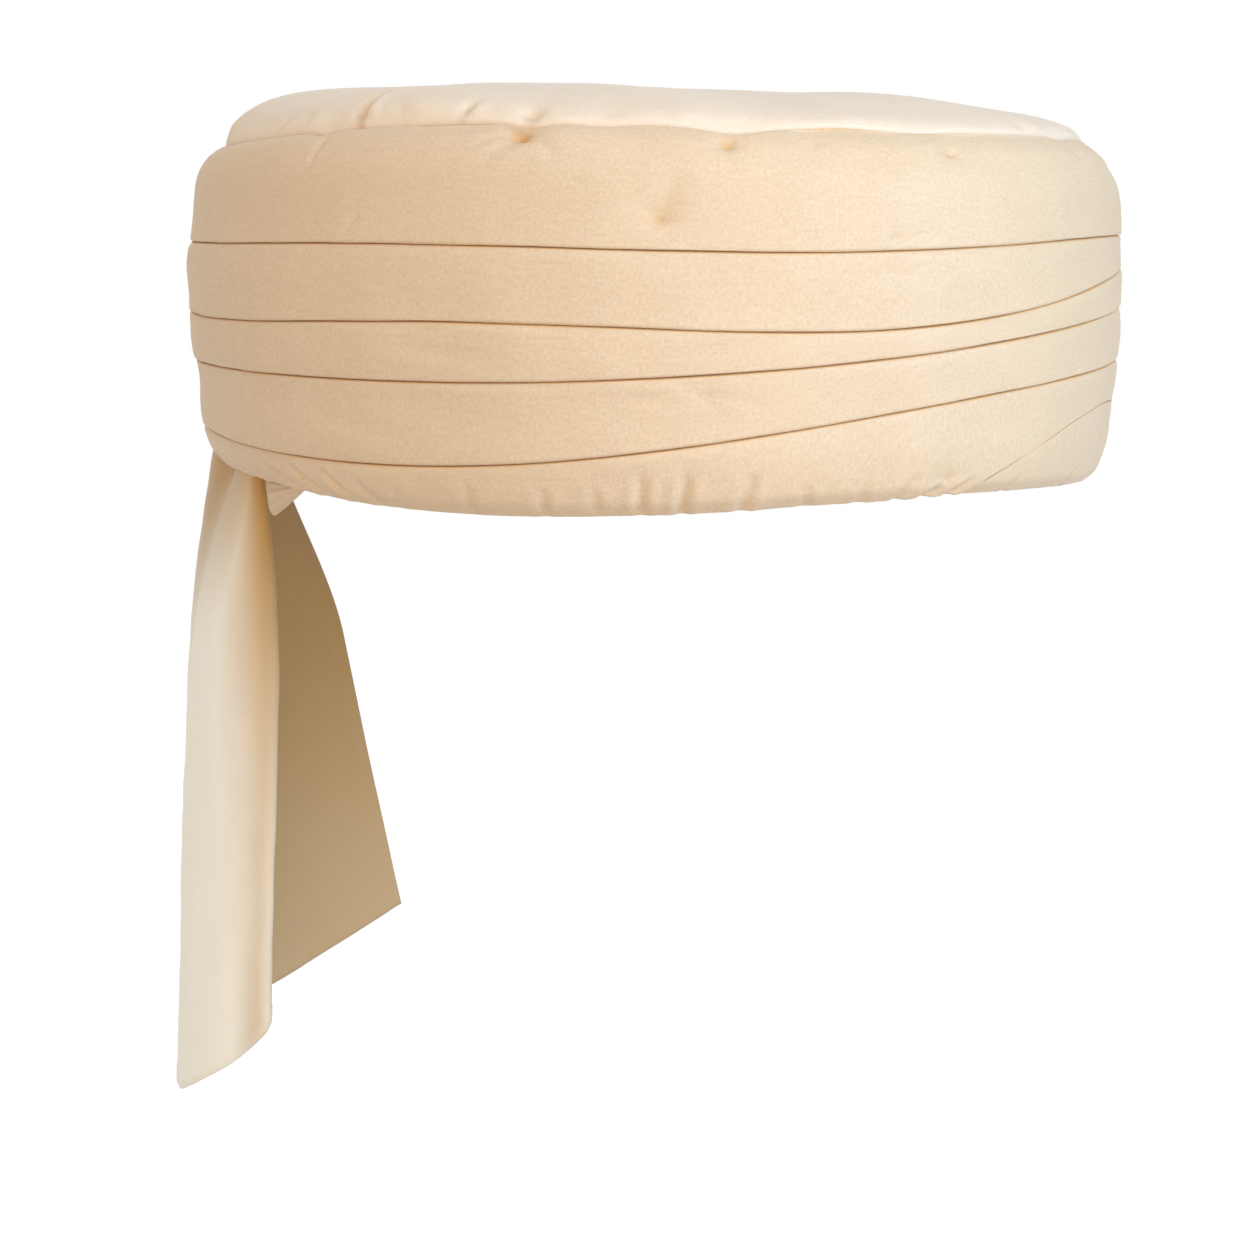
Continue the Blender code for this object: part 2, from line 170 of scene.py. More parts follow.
HEAD_HALF_WIDTH, HEAD_HALF_LENGTH = 80.0, 100.0
MM = 0.001
LINE_HEIGHTS = {
    "seam": (71.9, 71.8, 71.3, 72.2, 72.5, 71.4, 71.9, 72.5, 71.9, 72.8, 73.7, 72.5),
    "fold_1": (50.3, 52.4, 52.3, 52.3, 52.8, 51.8, 51.7, 52.4, 51.4, 50.9, 50.5, 49.2),
    "fold_2": (36.6, 44.1, 47.3, 45.8, 44.8, 42.2, 39.2, 38.2, 36.2, 35.2, 35.9, 34.5),
    "fold_3": (31.6, 36.8, 39.4, 38.5, 36.6, 34.7, 31.0, 27.1, 25.4, 24.5, 24.4, 26.8),
    "fold_4": (21.7, 26.1, 28.3, 27.7, 25.8, 24.7, 20.7, 14.7, 11.0, 8.3, 8.3, 14.3),
    "rim": (2.5, 1.6, 0.7, 0.5, 0.5, 1.1, 0.7, 0.4, 2.0, 0.3, -1.7, 0.3),
}
SEAM_WAVES = (
    # azimuth, how much higher the seam runs there, how wide in degrees
    (276.5, -0.8, 2.0),
    (306.2, -1.2, 2.2),
    (314.5, -0.6, 3.5),
    (329.5, -1.4, 4.5),
    (342.5, 0.5, 4.0),
    (353.0, -0.3, 4.0),
    (22.0, -0.7, 3.0),
    (63.0, -0.8, 3.5),
    (112.0, -0.8, 3.5),
    (157.0, -0.7, 3.0),
    (184.0, -0.9, 3.5),
    (231.0, -0.6, 3.0),
)
CROWN_EDGE_OUT, CROWN_SKIRT_OUT, CROWN_WALL = 6.15, 6.05, 3.0
CROWN_SKIRT_FOOT = 62.1
CROWN_RISE, CROWN_FRONT_DROP = 12.0, 5.2
CROWN_FULLNESS, CROWN_SHOULDER = 5.2, 1.8
CROWN_STATIONS, CROWN_RINGS, CROWN_LINING_RINGS = 560, 100, 30
CROWN_GATHERS, CROWN_GATHER_DEPTH, CROWN_GATHER_REACH = 46, 0.22, 7.0
CROWN_SLACK, CROWN_SLACK_LENGTH = 0.55, 90.0
CROWN_PLAN_OUT, CROWN_LEVEL = 6.0, 72.0
CREASE_PER_DEGREE = 1.7
# Painted shade in the crown's creases: how strong it is, and the crease depth where it is full.
PAINTED_SHADE_IN_CREASES, PAINTED_SHADE_CREASE_DEPTH = 0.5, 2.5
CREPE_GRAIN, CREPE_SLUB, CREPE_DRAG, CREPE_CLOUD = 0.6, 0.9, 5.0, 14.0
CROWN_CREASES = (
    # azimuth at the seam, slant of the crease, length, width, depth
    (282.8, -20.0, 16.0, 1.5, 2.30),
    (297.2, 6.0, 8.5, 1.0, 1.50),
    (290.5, -35.0, 7.0, 2.2, 0.60),
    (265.8, 8.0, 6.0, 0.8, 1.00),
    (271.5, -15.0, 7.0, 1.6, 0.60),
    (306.2, -10.0, 6.0, 2.0, 1.70),
    (322.0, 10.0, 6.0, 1.5, 0.35),
    (343.0, -10.0, 7.0, 1.6, 0.40),
    (12.0, 14.0, 9.0, 1.8, 0.55),
    (38.0, -12.0, 8.0, 1.5, 0.70),
    (64.0, 8.0, 12.0, 1.7, 0.90),
    (97.0, -6.0, 7.0, 1.3, 0.70),
    (126.0, 15.0, 11.0, 1.8, 0.80),
    (158.0, -9.0, 9.0, 1.4, 0.75),
    (189.0, 5.0, 13.0, 1.9, 0.95),
    (214.0, -14.0, 8.0, 1.4, 0.70),
    (243.0, 9.0, 10.0, 1.6, 0.80),
)
CROWN_SWELLS = (
    # where in plan (x, y), how wide, how high
    (28.0, -62.0, 24.0, 0.6),
    (66.0, -46.0, 20.0, -0.9),
    (46.0, -80.0, 8.0, 0.6),
    (30.0, -76.0, 9.0, -0.9),
    (-7.0, -52.0, 14.0, -0.4),
    (-50.0, -34.0, 18.0, -0.6),
    (-68.0, 52.0, 12.0, 0.8),
    (-12.0, 20.0, 36.0, -0.9),
    (34.0, 58.0, 30.0, 0.7),
)


def smooth_through(knots, values, at):
    """Smooth curve through the rows of a table: cubic pieces whose slope at each knot is the
    mean of the slopes beside it, read at any place between the knots."""
    knots, values = np.asarray(knots, float), np.asarray(values, float)
    slopes = np.gradient(values, knots)
    at = np.clip(at, knots[0], knots[-1])
    row = np.clip(np.searchsorted(knots, at, side="right") - 1, 0, len(knots) - 2)
    span = knots[row + 1] - knots[row]
    u = (at - knots[row]) / span
    start = (1 + 2 * u) * (1 - u) ** 2 * values[row] + u * (1 - u) ** 2 * span * slopes[row]
    end = u * u * (3 - 2 * u) * values[row + 1] - u * u * (1 - u) * span * slopes[row + 1]
    return start + end


def line_height(line, azimuth):
    """Height of a fold line: the smoothest wave round the head through its twelve heights."""
    heights = np.array(LINE_HEIGHTS[line])
    count = len(heights)
    away = np.radians(azimuth)[..., None] - 2 * np.pi * np.arange(count) / count
    weight = 1 + np.cos(count / 2 * away)
    for wave in range(1, count // 2):
        weight = weight + 2 * np.cos(wave * away)
    return weight @ heights / count


def mix(a, b, share):
    return a + (b - a) * share


def ease(u):
    """0 to 1 with no slope at either end: u squared times (3 - 2u)."""
    u = np.clip(u, 0, 1)
    return u * u * (3 - 2 * u)


def seam_wave(azimuth):
    """How far the tacks draw the seam down or let it up: the sum of the table's bell curves."""
    wave = 0.0 * np.asarray(azimuth, float)
    for at, rise, width in SEAM_WAVES:
        turned = (azimuth - at + 180) % 360 - 180
        wave = wave + rise * np.exp(-(turned / width) ** 2)
    return wave


def place(azimuth, out, height):
    """Point in metres: the head's oval grown by the distance out, at the height."""
    angle = np.radians(azimuth)
    x = (HEAD_HALF_WIDTH + out) * np.sin(angle)
    y = -(HEAD_HALF_LENGTH + out) * np.cos(angle)
    return np.stack(np.broadcast_arrays(x, y, height), axis=-1) * MM


def slow_waves(seed, *places):
    """Slow unevenness of laid cloth, about 1 high: the mean of nine sine waves whose lengths
    run from 1 down to a quarter of the places' unit, each with its own direction."""
    dice = np.random.default_rng(seed)
    total = 0.0
    for step in np.linspace(1.0, 4.0, 9):
        turns = dice.normal(size=len(places))
        turns *= 2 * np.pi * step / np.linalg.norm(turns)
        phase = dice.uniform(0, 2 * np.pi)
        total = total + np.sin(sum(t * p for t, p in zip(turns, places)) + phase) / step ** 0.7
    return total / 2.6


def grid_faces(rows, columns, close_rows, close_columns, first=0):
    """Corner numbers of the quads of a grid whose points are numbered row by row."""
    i = np.arange(rows if close_rows else rows - 1)
    j = np.arange(columns if close_columns else columns - 1)
    i, j = np.meshgrid(i, j, indexing="ij")
    k, l = (i + 1) % rows, (j + 1) % columns
    corners = np.stack((i * columns + j, k * columns + j, k * columns + l, i * columns + l), -1)
    return corners.reshape(-1, 4) + first


def sewn_piece(name, points, faces, layout, kept, material):
    """Object from points in metres, lists of quads and triangles, each face corner's place on
    the flat cloth in metres, and how much painted shade, a deeper golden colour, each point
    has. Its faces are turned to point outwards."""
    mesh = bpy.data.meshes.new(name)
    mesh.vertices.add(len(points))
    mesh.vertices.foreach_set("co", np.ascontiguousarray(points, np.float32).ravel())
    corners = np.concatenate([f.ravel() for f in faces])
    sizes = np.concatenate([np.full(len(f), f.shape[1]) for f in faces])
    mesh.loops.add(len(corners))
    mesh.loops.foreach_set("vertex_index", corners.astype(np.int32))
    mesh.polygons.add(len(sizes))
    mesh.polygons.foreach_set("loop_start", (np.cumsum(sizes) - sizes).astype(np.int32))
    mesh.update(calc_edges=True)
    flat = mesh.uv_layers.new(name="cloth")
    flat.data.foreach_set("uv", np.ascontiguousarray(layout, np.float32).ravel())
    # Painted shade: how much of the deeper golden colour each point has painted in.
    painted_shade_layer = mesh.attributes.new("kept", "FLOAT", "POINT")
    painted_shade_layer.data.foreach_set("value", np.ascontiguousarray(kept, np.float32).ravel())
    if signed_volume(points, faces) < 0:
        mesh.flip_normals()
    mesh.shade_smooth()
    mesh.materials.append(material)
    piece = bpy.data.objects.new(name, mesh)
    bpy.context.scene.collection.objects.link(piece)
    return piece


def signed_volume(points, faces):
    """Sum over the faces of corner 1 . (corner 2 x corner 3) / 6, positive when they face out."""
    total = 0.0
    for group in faces:
        for last in range(2, group.shape[1]):
            a, b, c = (points[group[:, k]] for k in (0, last - 1, last))
            total += np.einsum("ij,ij->i", a, np.cross(b, c)).sum() / 6
    return total


def cotton_crepe(name, pale, deep, kept="BE8848", drag=0.3):
    """Woven cotton crepe: matt, with a faint sheen, a fine pebbled grain from its overtwisted
    threads, and slow clouds of deeper and paler cream where the weave is tighter or slacker.
    Where shade falls, in folds, creases, dimples and on the tail's shaded parts, a deeper
    golden colour is painted in as painted shade and shadow; a point attribute says how much.

    The real threads are about 0.25 mm apart, too fine for the render, so the grain is drawn at
    0.6 mm, slightly longer along the strip than across it. Slubs are the few thicker threads,
    and drag is how strongly the cloth is pulled along the strip.
    """
    cloth = bpy.data.materials.new(name)
    cloth.use_nodes = True
    tree = cloth.node_tree
    shader = tree.nodes["Principled BSDF"]
    flat = add_node(tree, "ShaderNodeUVMap", {"uv_map": "cloth"}).outputs[0]
    longer = add_node(tree, "ShaderNodeMapping", Vector=flat, Scale=(0.85, 1.0, 1.0)).outputs[0]
    grain = add_node(tree, "ShaderNodeTexNoise", Vector=longer, Scale=1000 / CREPE_GRAIN,
                     Detail=2.0, Roughness=0.55).outputs["Fac"]
    thread = add_node(tree, "ShaderNodeMapping", Vector=flat, Scale=(0.30, 1.0, 1.0)).outputs[0]
    slub = add_node(tree, "ShaderNodeTexNoise", Vector=thread, Scale=1000 / CREPE_SLUB,
                    Detail=1.0).outputs["Fac"]
    pull = add_node(tree, "ShaderNodeMapping", Vector=flat, Scale=(0.10, 1.0, 1.0)).outputs[0]
    drawn = add_node(tree, "ShaderNodeTexNoise", Vector=pull, Scale=1000 / CREPE_DRAG,
                     Detail=2.0).outputs["Fac"]
    cloud = add_node(tree, "ShaderNodeTexNoise", Vector=flat, Scale=1000 / CREPE_CLOUD,
                     Detail=3.0, Roughness=0.6).outputs["Fac"]
    fine = add_node(tree, "ShaderNodeMath", {"operation": "MULTIPLY_ADD"},
                    in0=slub, in1=0.35, in2=grain).outputs[0]
    tone = add_node(tree, "ShaderNodeMath", {"operation": "MULTIPLY_ADD"},
                    in0=cloud, in1=0.30, in2=fine).outputs[0]
    share = add_node(tree, "ShaderNodeMapRange", in0=tone, in1=0.50, in2=1.15,
                     in3=0.0, in4=1.0).outputs[0]
    colour = add_node(tree, "ShaderNodeMix", {"data_type": "RGBA"}, in0=share,
                      in6=linear_colour(deep), in7=linear_colour(pale)).outputs[2]
    # Painted shade: the point attribute mixes the deeper golden colour in where shade falls.
    painted_shade_layer = add_node(tree, "ShaderNodeAttribute", {"attribute_name": "kept"}).outputs["Fac"]
    golden = add_node(tree, "ShaderNodeMix", {"data_type": "RGBA"}, in0=painted_shade_layer,
                      in6=colour, in7=linear_colour(kept)).outputs[2]
    tree.links.new(golden, shader.inputs["Base Color"])
    pulled = add_node(tree, "ShaderNodeBump", Height=drawn, Strength=drag,
                      Distance=0.35 * MM).outputs[0]
    pebbled = add_node(tree, "ShaderNodeBump", Height=fine, Strength=0.32,
                       Distance=0.16 * MM, Normal=pulled).outputs[0]
    tree.links.new(pebbled, shader.inputs["Normal"])
    shader.inputs["Roughness"].default_value = 0.6
    shader.inputs["IOR"].default_value = 1.45
    shader.inputs["Specular IOR Level"].default_value = 0.5
    shader.inputs["Sheen Weight"].default_value = 0.18
    shader.inputs["Sheen Roughness"].default_value = 0.45
    shader.inputs["Sheen Tint"].default_value = linear_colour("FFF4E4")
    return cloth


def crown_height(share, azimuth):
    """Height at a share of the way out: a level base plus a rise that falls off towards the
    edge as (1 - share to the fullness) to the power 1 / shoulder, less at the front."""
    seam = line_height("seam", azimuth)
    base = mix(np.mean(LINE_HEIGHTS["seam"]), seam, share) + seam_wave(azimuth) * share ** 16
    rise = CROWN_RISE - CROWN_FRONT_DROP * share * np.cos(np.radians(azimuth))
    return base + rise * (1 - share ** CROWN_FULLNESS) ** (1 / CROWN_SHOULDER)


def crown_relief(points):
    """How far each point of the crown stands proud, in mm, and how deep it lies in a crease:
    shallow gathers that fade inwards from the seam, the creases of the table, broad swells,
    and slow unevenness."""
    x, y, height = points[..., 0] / MM, points[..., 1] / MM, points[..., 2] / MM
    half_width, half_length = HEAD_HALF_WIDTH + CROWN_PLAN_OUT, HEAD_HALF_LENGTH + CROWN_PLAN_OUT
    azimuth = np.degrees(np.arctan2(x / half_width, -y / half_length))
    share = np.hypot(x / half_width, y / half_length)
    inward = (1 - share) * (HEAD_HALF_LENGTH + HEAD_HALF_WIDTH) / 2
    climb = inward + np.clip(height - CROWN_LEVEL, 0, None) * 0.8
    angle = np.radians(azimuth)
    wander = 1.3 * np.sin(3 * angle + 1) + 0.9 * np.sin(5 * angle + 4)
    strength = 0.6 + 0.4 * np.sin(4 * angle + 2) * np.sin(9 * angle)
    gathers = np.sin(CROWN_GATHERS * angle + wander * 3) * np.exp(-climb / CROWN_GATHER_REACH)
    relief = CROWN_GATHER_DEPTH * strength * gathers
    depths = 0.0 * relief
    for at, slant, length, width, depth in CROWN_CREASES:
        turned = (azimuth - at + 180) % 360 - 180
        beside = turned * CREASE_PER_DEGREE - climb * np.tan(np.radians(slant))
        along = np.clip(climb / length, 0, None)
        shape = np.exp(-(beside / width) ** 2) - 0.3 * np.exp(-((beside - 2 * width) / width) ** 2)
        depths = depths + depth * shape * np.exp(-along ** 3)
    for at_x, at_y, wide, high in CROWN_SWELLS:
        relief = relief + high * np.exp(-((x - at_x) ** 2 + (y - at_y) ** 2) / wide ** 2)
    slack = slow_waves(11, x / CROWN_SLACK_LENGTH, y / CROWN_SLACK_LENGTH)
    return relief - depths + CROWN_SLACK * slack, depths


def make_crown():
    """Rings of points round the middle, each the seam's oval times its share of the way out:
    the outer dome to the seam, the skirt down to the ledge and up again, the lining back."""
    azimuth = np.linspace(180, 540, CROWN_STATIONS, endpoint=False)
    seam = line_height("seam", azimuth) + seam_wave(azimuth)
    steps = np.linspace(0, 1, CROWN_RINGS + 1)[1:]
    shares = np.sin(np.pi / 2 * steps) ** 0.9
    rings = []
    for share in shares:
        ring = place(azimuth, CROWN_EDGE_OUT, 0.0) * share
        ring[:, 2] = crown_height(share + 0 * azimuth, azimuth) * MM
        rings.append(ring)
    outer = np.array(rings)
    lift, depths = crown_relief(outer)
    along = np.gradient(outer, axis=0)
    around = np.gradient(outer, axis=1)
    normal = np.cross(around, along)
    normal /= np.linalg.norm(normal, axis=-1, keepdims=True)
    normal *= np.sign(normal[..., 2:3] + 1e-9)
    outer = outer + normal * (lift * MM * ease((1 - shares[:, None]) * 40))[..., None]
    skirt = [place(azimuth, mix(CROWN_EDGE_OUT, CROWN_SKIRT_OUT, ease(t)),
                   mix(seam, CROWN_SKIRT_FOOT, t)) for t in np.linspace(0.08, 1, 9)]
    skirt_in = CROWN_SKIRT_OUT - CROWN_WALL
    skirt += [place(azimuth, skirt_in, mix(CROWN_SKIRT_FOOT, seam - CROWN_WALL, t))
              for t in np.linspace(0, 1, 9)]
    lining = []
    for share in np.linspace(1, 0, CROWN_LINING_RINGS + 1)[1:-1] ** 0.8:
        ring = place(azimuth, skirt_in, 0.0) * share
        ring[:, 2] = (crown_height(share + 0 * azimuth, azimuth) - CROWN_WALL) * MM
        lining.append(ring)
    rings = np.concatenate((outer, skirt, lining))
    top = np.mean(LINE_HEIGHTS["seam"]) + CROWN_RISE
    middle = crown_relief(np.array([(0.0, 0.0, top * MM)]))[0][0]
    poles = np.array([(0, 0, (top + middle) * MM), (0, 0, (top - CROWN_WALL) * MM)])
    count = rings.size // 3
    points = np.concatenate((rings.reshape(-1, 3), poles))
    quads = grid_faces(len(rings), CROWN_STATIONS, False, True)
    i = np.arange(CROWN_STATIONS)
    j = (i + 1) % CROWN_STATIONS
    last = count - CROWN_STATIONS
    caps = np.concatenate((np.stack((i, j, 0 * i + count), -1),
                           np.stack((last + j, last + i, 0 * i + count + 1), -1)))
    across = np.linalg.norm(np.diff(rings, axis=0, prepend=rings[:1] * 0 + poles[0]), axis=-1)
    walked = np.cumsum(across.mean(axis=1))
    angle = np.radians(azimuth)
    flat = walked[:, None, None] * np.stack((np.sin(angle), -np.cos(angle)), -1)
    flat = np.concatenate((flat.reshape(-1, 2), np.zeros((1, 2)), [[0, walked[-1]]]))
    layout = np.concatenate((flat[quads.ravel()], flat[caps.ravel()]))
    # Painted shade: a deeper golden colour painted into the creases, stronger where they are
    # deeper.
    kept = np.zeros(len(points))
    kept[:depths.size] = PAINTED_SHADE_IN_CREASES * ease(depths.ravel() / PAINTED_SHADE_CREASE_DEPTH)
    return points, [quads, caps], layout, kept


crown_cotton = cotton_crepe("crown_cotton_crepe", pale="ECD3B5", deep="E1C5A5", drag=0.2)
crown = sewn_piece("soft_crown", *make_crown(), crown_cotton)
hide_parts("crown")
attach(crown, "root")


# First turn: the widest and topmost wrap, a strip of crepe folded over padding, its upper edge
# rolled in over the crown and tacked there; each tack pulls a small dimple in the cloth.

BAND_HALF_WIDTH, BAND_HALF_LENGTH = 94.0, 114.0
BAND_STATIONS = 760
FACE_ROWS, LIP_ROWS, CURVE_ROWS, HEAD_ROWS = 58, 8, 6, 8
GAP, SKIRT_GAP = 0.1, 0.3
LEDGE_HEIGHT = 61.8
ROLLED_EDGE = ((0.0, 1.2), (0.5, 0.3))
ENVELOPE = (
    # fraction of the height from rim to seam, distance out, how much more at the left front
    (0.00, 7.4, 0.3),
    (0.03, 9.7, 0.4),
    (0.06, 10.8, 0.3),
    (0.09, 11.5, 0.3),
    (0.14, 12.4, 0.2),
    (0.20, 12.9, 0.2),
    (0.25, 13.2, 0.4),
    (0.30, 13.6, 0.5),
    (0.36, 14.3, 0.1),
    (0.43, 14.7, 0.0),
    (0.52, 14.8, 0.0),
    (0.62, 15.0, 0.0),
    (0.70, 14.6, 0.3),
    (0.78, 14.1, 0.6),
    (0.83, 13.8, 0.6),
    (0.89, 13.0, 0.3),
    (0.92, 12.1, 0.0),
    (0.95, 10.9, 0.0),
    (0.98, 8.8, -0.3),
    (1.00, 6.7, -0.2),
)
ENVELOPE_FRONT = 40.0
LIP_RADIUS, LAST_LIP_RADIUS = 0.6, 0.35
LIP_LOOSEST, LIP_DRAWN_FLAT = 305.0, 0.35
DENT_DEPTH, DENT_REACH = 0.45, 2.5
FACE_START = 0.3
UNDERSIDE = ((2.0, 0.35), (4.7, 1.8))
UNDERSIDE_RISE = 6.0
LAP_START, LAP_FULL, LAP_SINKS, LAP_END = -1.0, 34.0, 110.0, 242.0
LAP_HEIGHT, LAP_WRAPPED = 17.0, 3.0
WRAPPED_UNDERSIDE = ((6.8, 0.0), (5.1, 0.15), (4.7, 1.9), (0.0, 6.4))
SLACK = 0.22
LIP_RELIEF = 0.4
TACK_BELOW, TACK_ABOVE, TACK_BLUNT, TACK_RAYS = 2.2, 0.85, 0.3, 5
# Painted shade on the turns: how strongly a deeper golden colour is painted in the folds, the last
# fold, the dimples and near the head, and the depths and reaches over which it fades.
PAINTED_SHADE_IN_FOLDS, PAINTED_SHADE_IN_LAST_FOLD, PAINTED_SHADE_IN_DIMPLES, PAINTED_SHADE_AT_HEAD = 0.75, 0.2, 0.8, 0.3
PAINTED_SHADE_FOLD_EDGE, PAINTED_SHADE_DIMPLE_DEPTH, PAINTED_SHADE_HEAD_REACH = 0.3, 2.2, 4.0

FIRST_TACKS = (
    # azimuth, height, depth, radius, how starry the drag round it is
    (305.6, 71.0, 3.0, 2.4, 0.3),
    (328.6, 68.9, 2.2, 1.8, 0.4),
    (321.2, 54.8, 1.6, 3.0, 0.2),
    (356.0, 67.6, 2.3, 0.9, 0.6),
    (347.2, 51.6, 0.9, 0.9, 0.4),
    (338.2, 69.0, 0.4, 1.2, 0.3),
    (278.2, 70.3, 0.7, 1.5, 0.2),
    (22.0, 68.5, 0.8, 1.5, 0.4),
    (41.0, 55.0, 0.7, 2.0, 0.3),
    (63.0, 69.5, 1.0, 1.8, 0.4),
    (88.0, 68.0, 0.7, 1.3, 0.5),
    (112.0, 70.0, 1.1, 1.9, 0.3),
    (139.0, 57.0, 0.8, 2.2, 0.3),
    (157.0, 69.0, 0.8, 1.4, 0.4),
    (184.0, 70.5, 1.2, 2.0, 0.3),
    (208.0, 67.5, 0.6, 1.2, 0.5),
    (231.0, 69.5, 1.0, 1.7, 0.3),
    (254.0, 56.5, 0.6, 2.0, 0.3),
)
FIRST_CREASES = (
    # azimuth, height, slant (rising to the wearer's left), length, width, depth
    (278.0, 69.0, 80.0, 5.0, 0.9, 0.45),
    (285.2, 54.2, 38.0, 6.0, 1.2, 0.35),
    (302.0, 70.6, 12.0, 7.0, 0.8, 0.30),
    (303.0, 68.0, 40.0, 6.0, 1.1, 0.22),
    (309.0, 68.5, -45.0, 6.0, 1.2, 0.20),
    (322.6, 60.0, 65.0, 8.0, 2.4, 0.25),
    (341.0, 66.5, -35.0, 12.0, 2.6, 0.25),
    (353.5, 68.0, 5.0, 4.0, 0.6, 0.20),
    (350.0, 52.2, 12.0, 5.0, 0.6, 0.15),
    (61.0, 65.0, 70.0, 8.0, 1.5, 0.35),
    (116.0, 66.0, -60.0, 8.0, 1.4, 0.35),
    (180.5, 68.0, 30.0, 8.0, 1.0, 0.35),
    (234.0, 66.0, -70.0, 7.0, 1.3, 0.30),
)


def fold_height(fold, azimuth):
    """Height of a fold line. Fold 5 rises steeply from the rim near the forehead as a quarter
    sine wave, and sinks back to the rim behind the left ear as half a cosine wave."""
    if fold < 5:
        return line_height(f"fold_{fold}", azimuth)
    return line_height("rim", azimuth) + lap_height(azimuth)


def lap_height(azimuth):
    """Height of fold 5 above the rim."""
    turned = (np.asarray(azimuth) - LAP_START) % 360.0
    rise = np.sin(np.pi / 2 * np.clip(turned / (LAP_FULL - LAP_START), 0, 1))
    sink = np.clip((turned + LAP_START - LAP_SINKS) / (LAP_END - LAP_SINKS), 0, 1)
    return LAP_HEIGHT * rise * (0.5 + 0.5 * np.cos(np.pi * sink))


def wrapped_share(azimuth):
    """1 where turn 5 wraps the rim and turn 6 is only its inner half, 0 where turn 6 shows."""
    return 1 - ease(lap_height(azimuth) / LAP_WRAPPED)


def envelope(height, azimuth):
    """Distance out of the band's outside: a smooth curve through the table's rows."""
    rim, seam = line_height("rim", azimuth), line_height("seam", azimuth)
    fraction = (height - rim) / (seam - rim)
    knots, out, lean = zip(*ENVELOPE)
    swing = np.cos(np.radians(azimuth - ENVELOPE_FRONT))
    return smooth_through(knots, out, fraction) + swing * smooth_through(knots, lean, fraction)


def section(points, azimuth):
    """Stack (out, height) pairs, each a number or an array over the stations."""
    pairs = [np.stack(np.broadcast_arrays(out + 0 * azimuth, height), axis=-1)
             for out, height in points]
    return np.stack(pairs, axis=1)


def soft_curve(points, rows=CURVE_ROWS):
    """Smooth curve through each station's points: cubic pieces whose slope at a point is the
    mean of the chords beside it, each weighted by the other's length."""
    chord = np.diff(points, axis=1)
    length = np.linalg.norm(chord, axis=-1, keepdims=True) + 1e-6
    slope = chord / length
    before, after = length[:, :-1], length[:, 1:]
    middle = (slope[:, :-1] * after + slope[:, 1:] * before) / (before + after)
    tangent = np.concatenate((slope[:, :1], middle, slope[:, -1:]), axis=1)
    u = np.linspace(0, 1, rows, endpoint=False)[None, None, :, None]
    start, end = points[:, :-1, None], points[:, 1:, None]
    leave, arrive = (tangent[:, k, None] * length[:, :, None]
                     for k in (slice(None, -1), slice(1, None)))
    curve = ((1 + 2 * u) * (1 - u) ** 2 * start + u * (1 - u) ** 2 * leave
             + u * u * (3 - 2 * u) * end - u * u * (1 - u) * arrive)
    curve = curve.reshape(len(points), -1, 2)
    return np.concatenate((curve, points[:, -1:]), axis=1)


def lip_radius(fold, azimuth):
    """Radius of a fold's rolled edge: full to the right of the forehead, where the turns are
    loosest, and drawn flatter round the head's left and back as a cosine."""
    loose = 0.5 + 0.5 * np.cos(np.radians(azimuth - LIP_LOOSEST))
    whole = LIP_RADIUS if fold < 5 else LAST_LIP_RADIUS
    return whole * mix(LIP_DRAWN_FLAT, 1, loose)


def underside(fold, azimuth):
    """Lower face of the turn above a fold, from its rolled lip in and up to the head."""
    height = fold_height(fold, azimuth)
    lip = envelope(height, azimuth)
    (back, up), (deep, high) = UNDERSIDE
    lapped = section(
        ((lip - lip_radius(fold, azimuth), height), (lip - back, height + up),
         (lip - deep, height + high), (0.0, height + UNDERSIDE_RISE)), azimuth)
    if fold < 5:
        return lapped
    rim = line_height("rim", azimuth)
    wrapped = section([(out, rim + up) for out, up in WRAPPED_UNDERSIDE], azimuth)
    return mix(lapped, wrapped, wrapped_share(azimuth)[:, None, None])


def laid_under(lower_face):
    """Upper face of a turn, head side first: the lower face above it, moved off by the gap."""
    along = np.gradient(lower_face, axis=1)
    away = np.stack((-along[..., 1], along[..., 0]), axis=-1)
    away /= np.linalg.norm(away, axis=-1, keepdims=True)
    face = lower_face + GAP * away
    face[:, -1] = lower_face[:, -1]
    face[:, -1, 1] += GAP / away[:, -1, 1]
    return face[:, ::-1]


def outer_face(top, bottom, azimuth, radius):
    """Outside of a turn: it follows the envelope, with a dent just under the lip above that
    fades as the square of the way down, and ends in a quarter-round lip."""
    foot = bottom + radius
    points = []
    for share in np.linspace(0, 1, FACE_ROWS):
        height = mix(top - FACE_START, foot, share)
        dent = DENT_DEPTH * np.clip(1 - (top - height) / DENT_REACH, 0, 1) ** 2
        points.append((envelope(height, azimuth) - dent, height))
    return section(points, azimuth)


def rounded_lip(face, lower):
    """Rounded edge from the end of the outside to the start of the underside: one cubic piece
    that leaves along the outside and arrives along the underside."""
    start, end = face[:, -1:], lower[:, :1]
    leave, arrive = start - face[:, -2:-1], lower[:, 1:2] - end
    reach = 1.2 * np.linalg.norm(end - start, axis=-1, keepdims=True)
    leave *= reach / (np.linalg.norm(leave, axis=-1, keepdims=True) + 1e-9)
    arrive *= reach / (np.linalg.norm(arrive, axis=-1, keepdims=True) + 1e-9)
    u = np.linspace(0, 1, LIP_ROWS + 2)[None, 1:-1, None]
    return ((1 + 2 * u) * (1 - u) ** 2 * start + u * (1 - u) ** 2 * leave
            + u * u * (3 - 2 * u) * end - u * u * (1 - u) * arrive)


def millimetres_round(azimuth, at):
    """Distance along the band from a mark, to the wearer's left: the turn in degrees times the
    oval's length for each degree there."""
    angle = np.radians(at)
    each = np.radians(1) * np.hypot(
        BAND_HALF_WIDTH * np.cos(angle), BAND_HALF_LENGTH * np.sin(angle))
    return ((azimuth - at + 180) % 360 - 180) * each


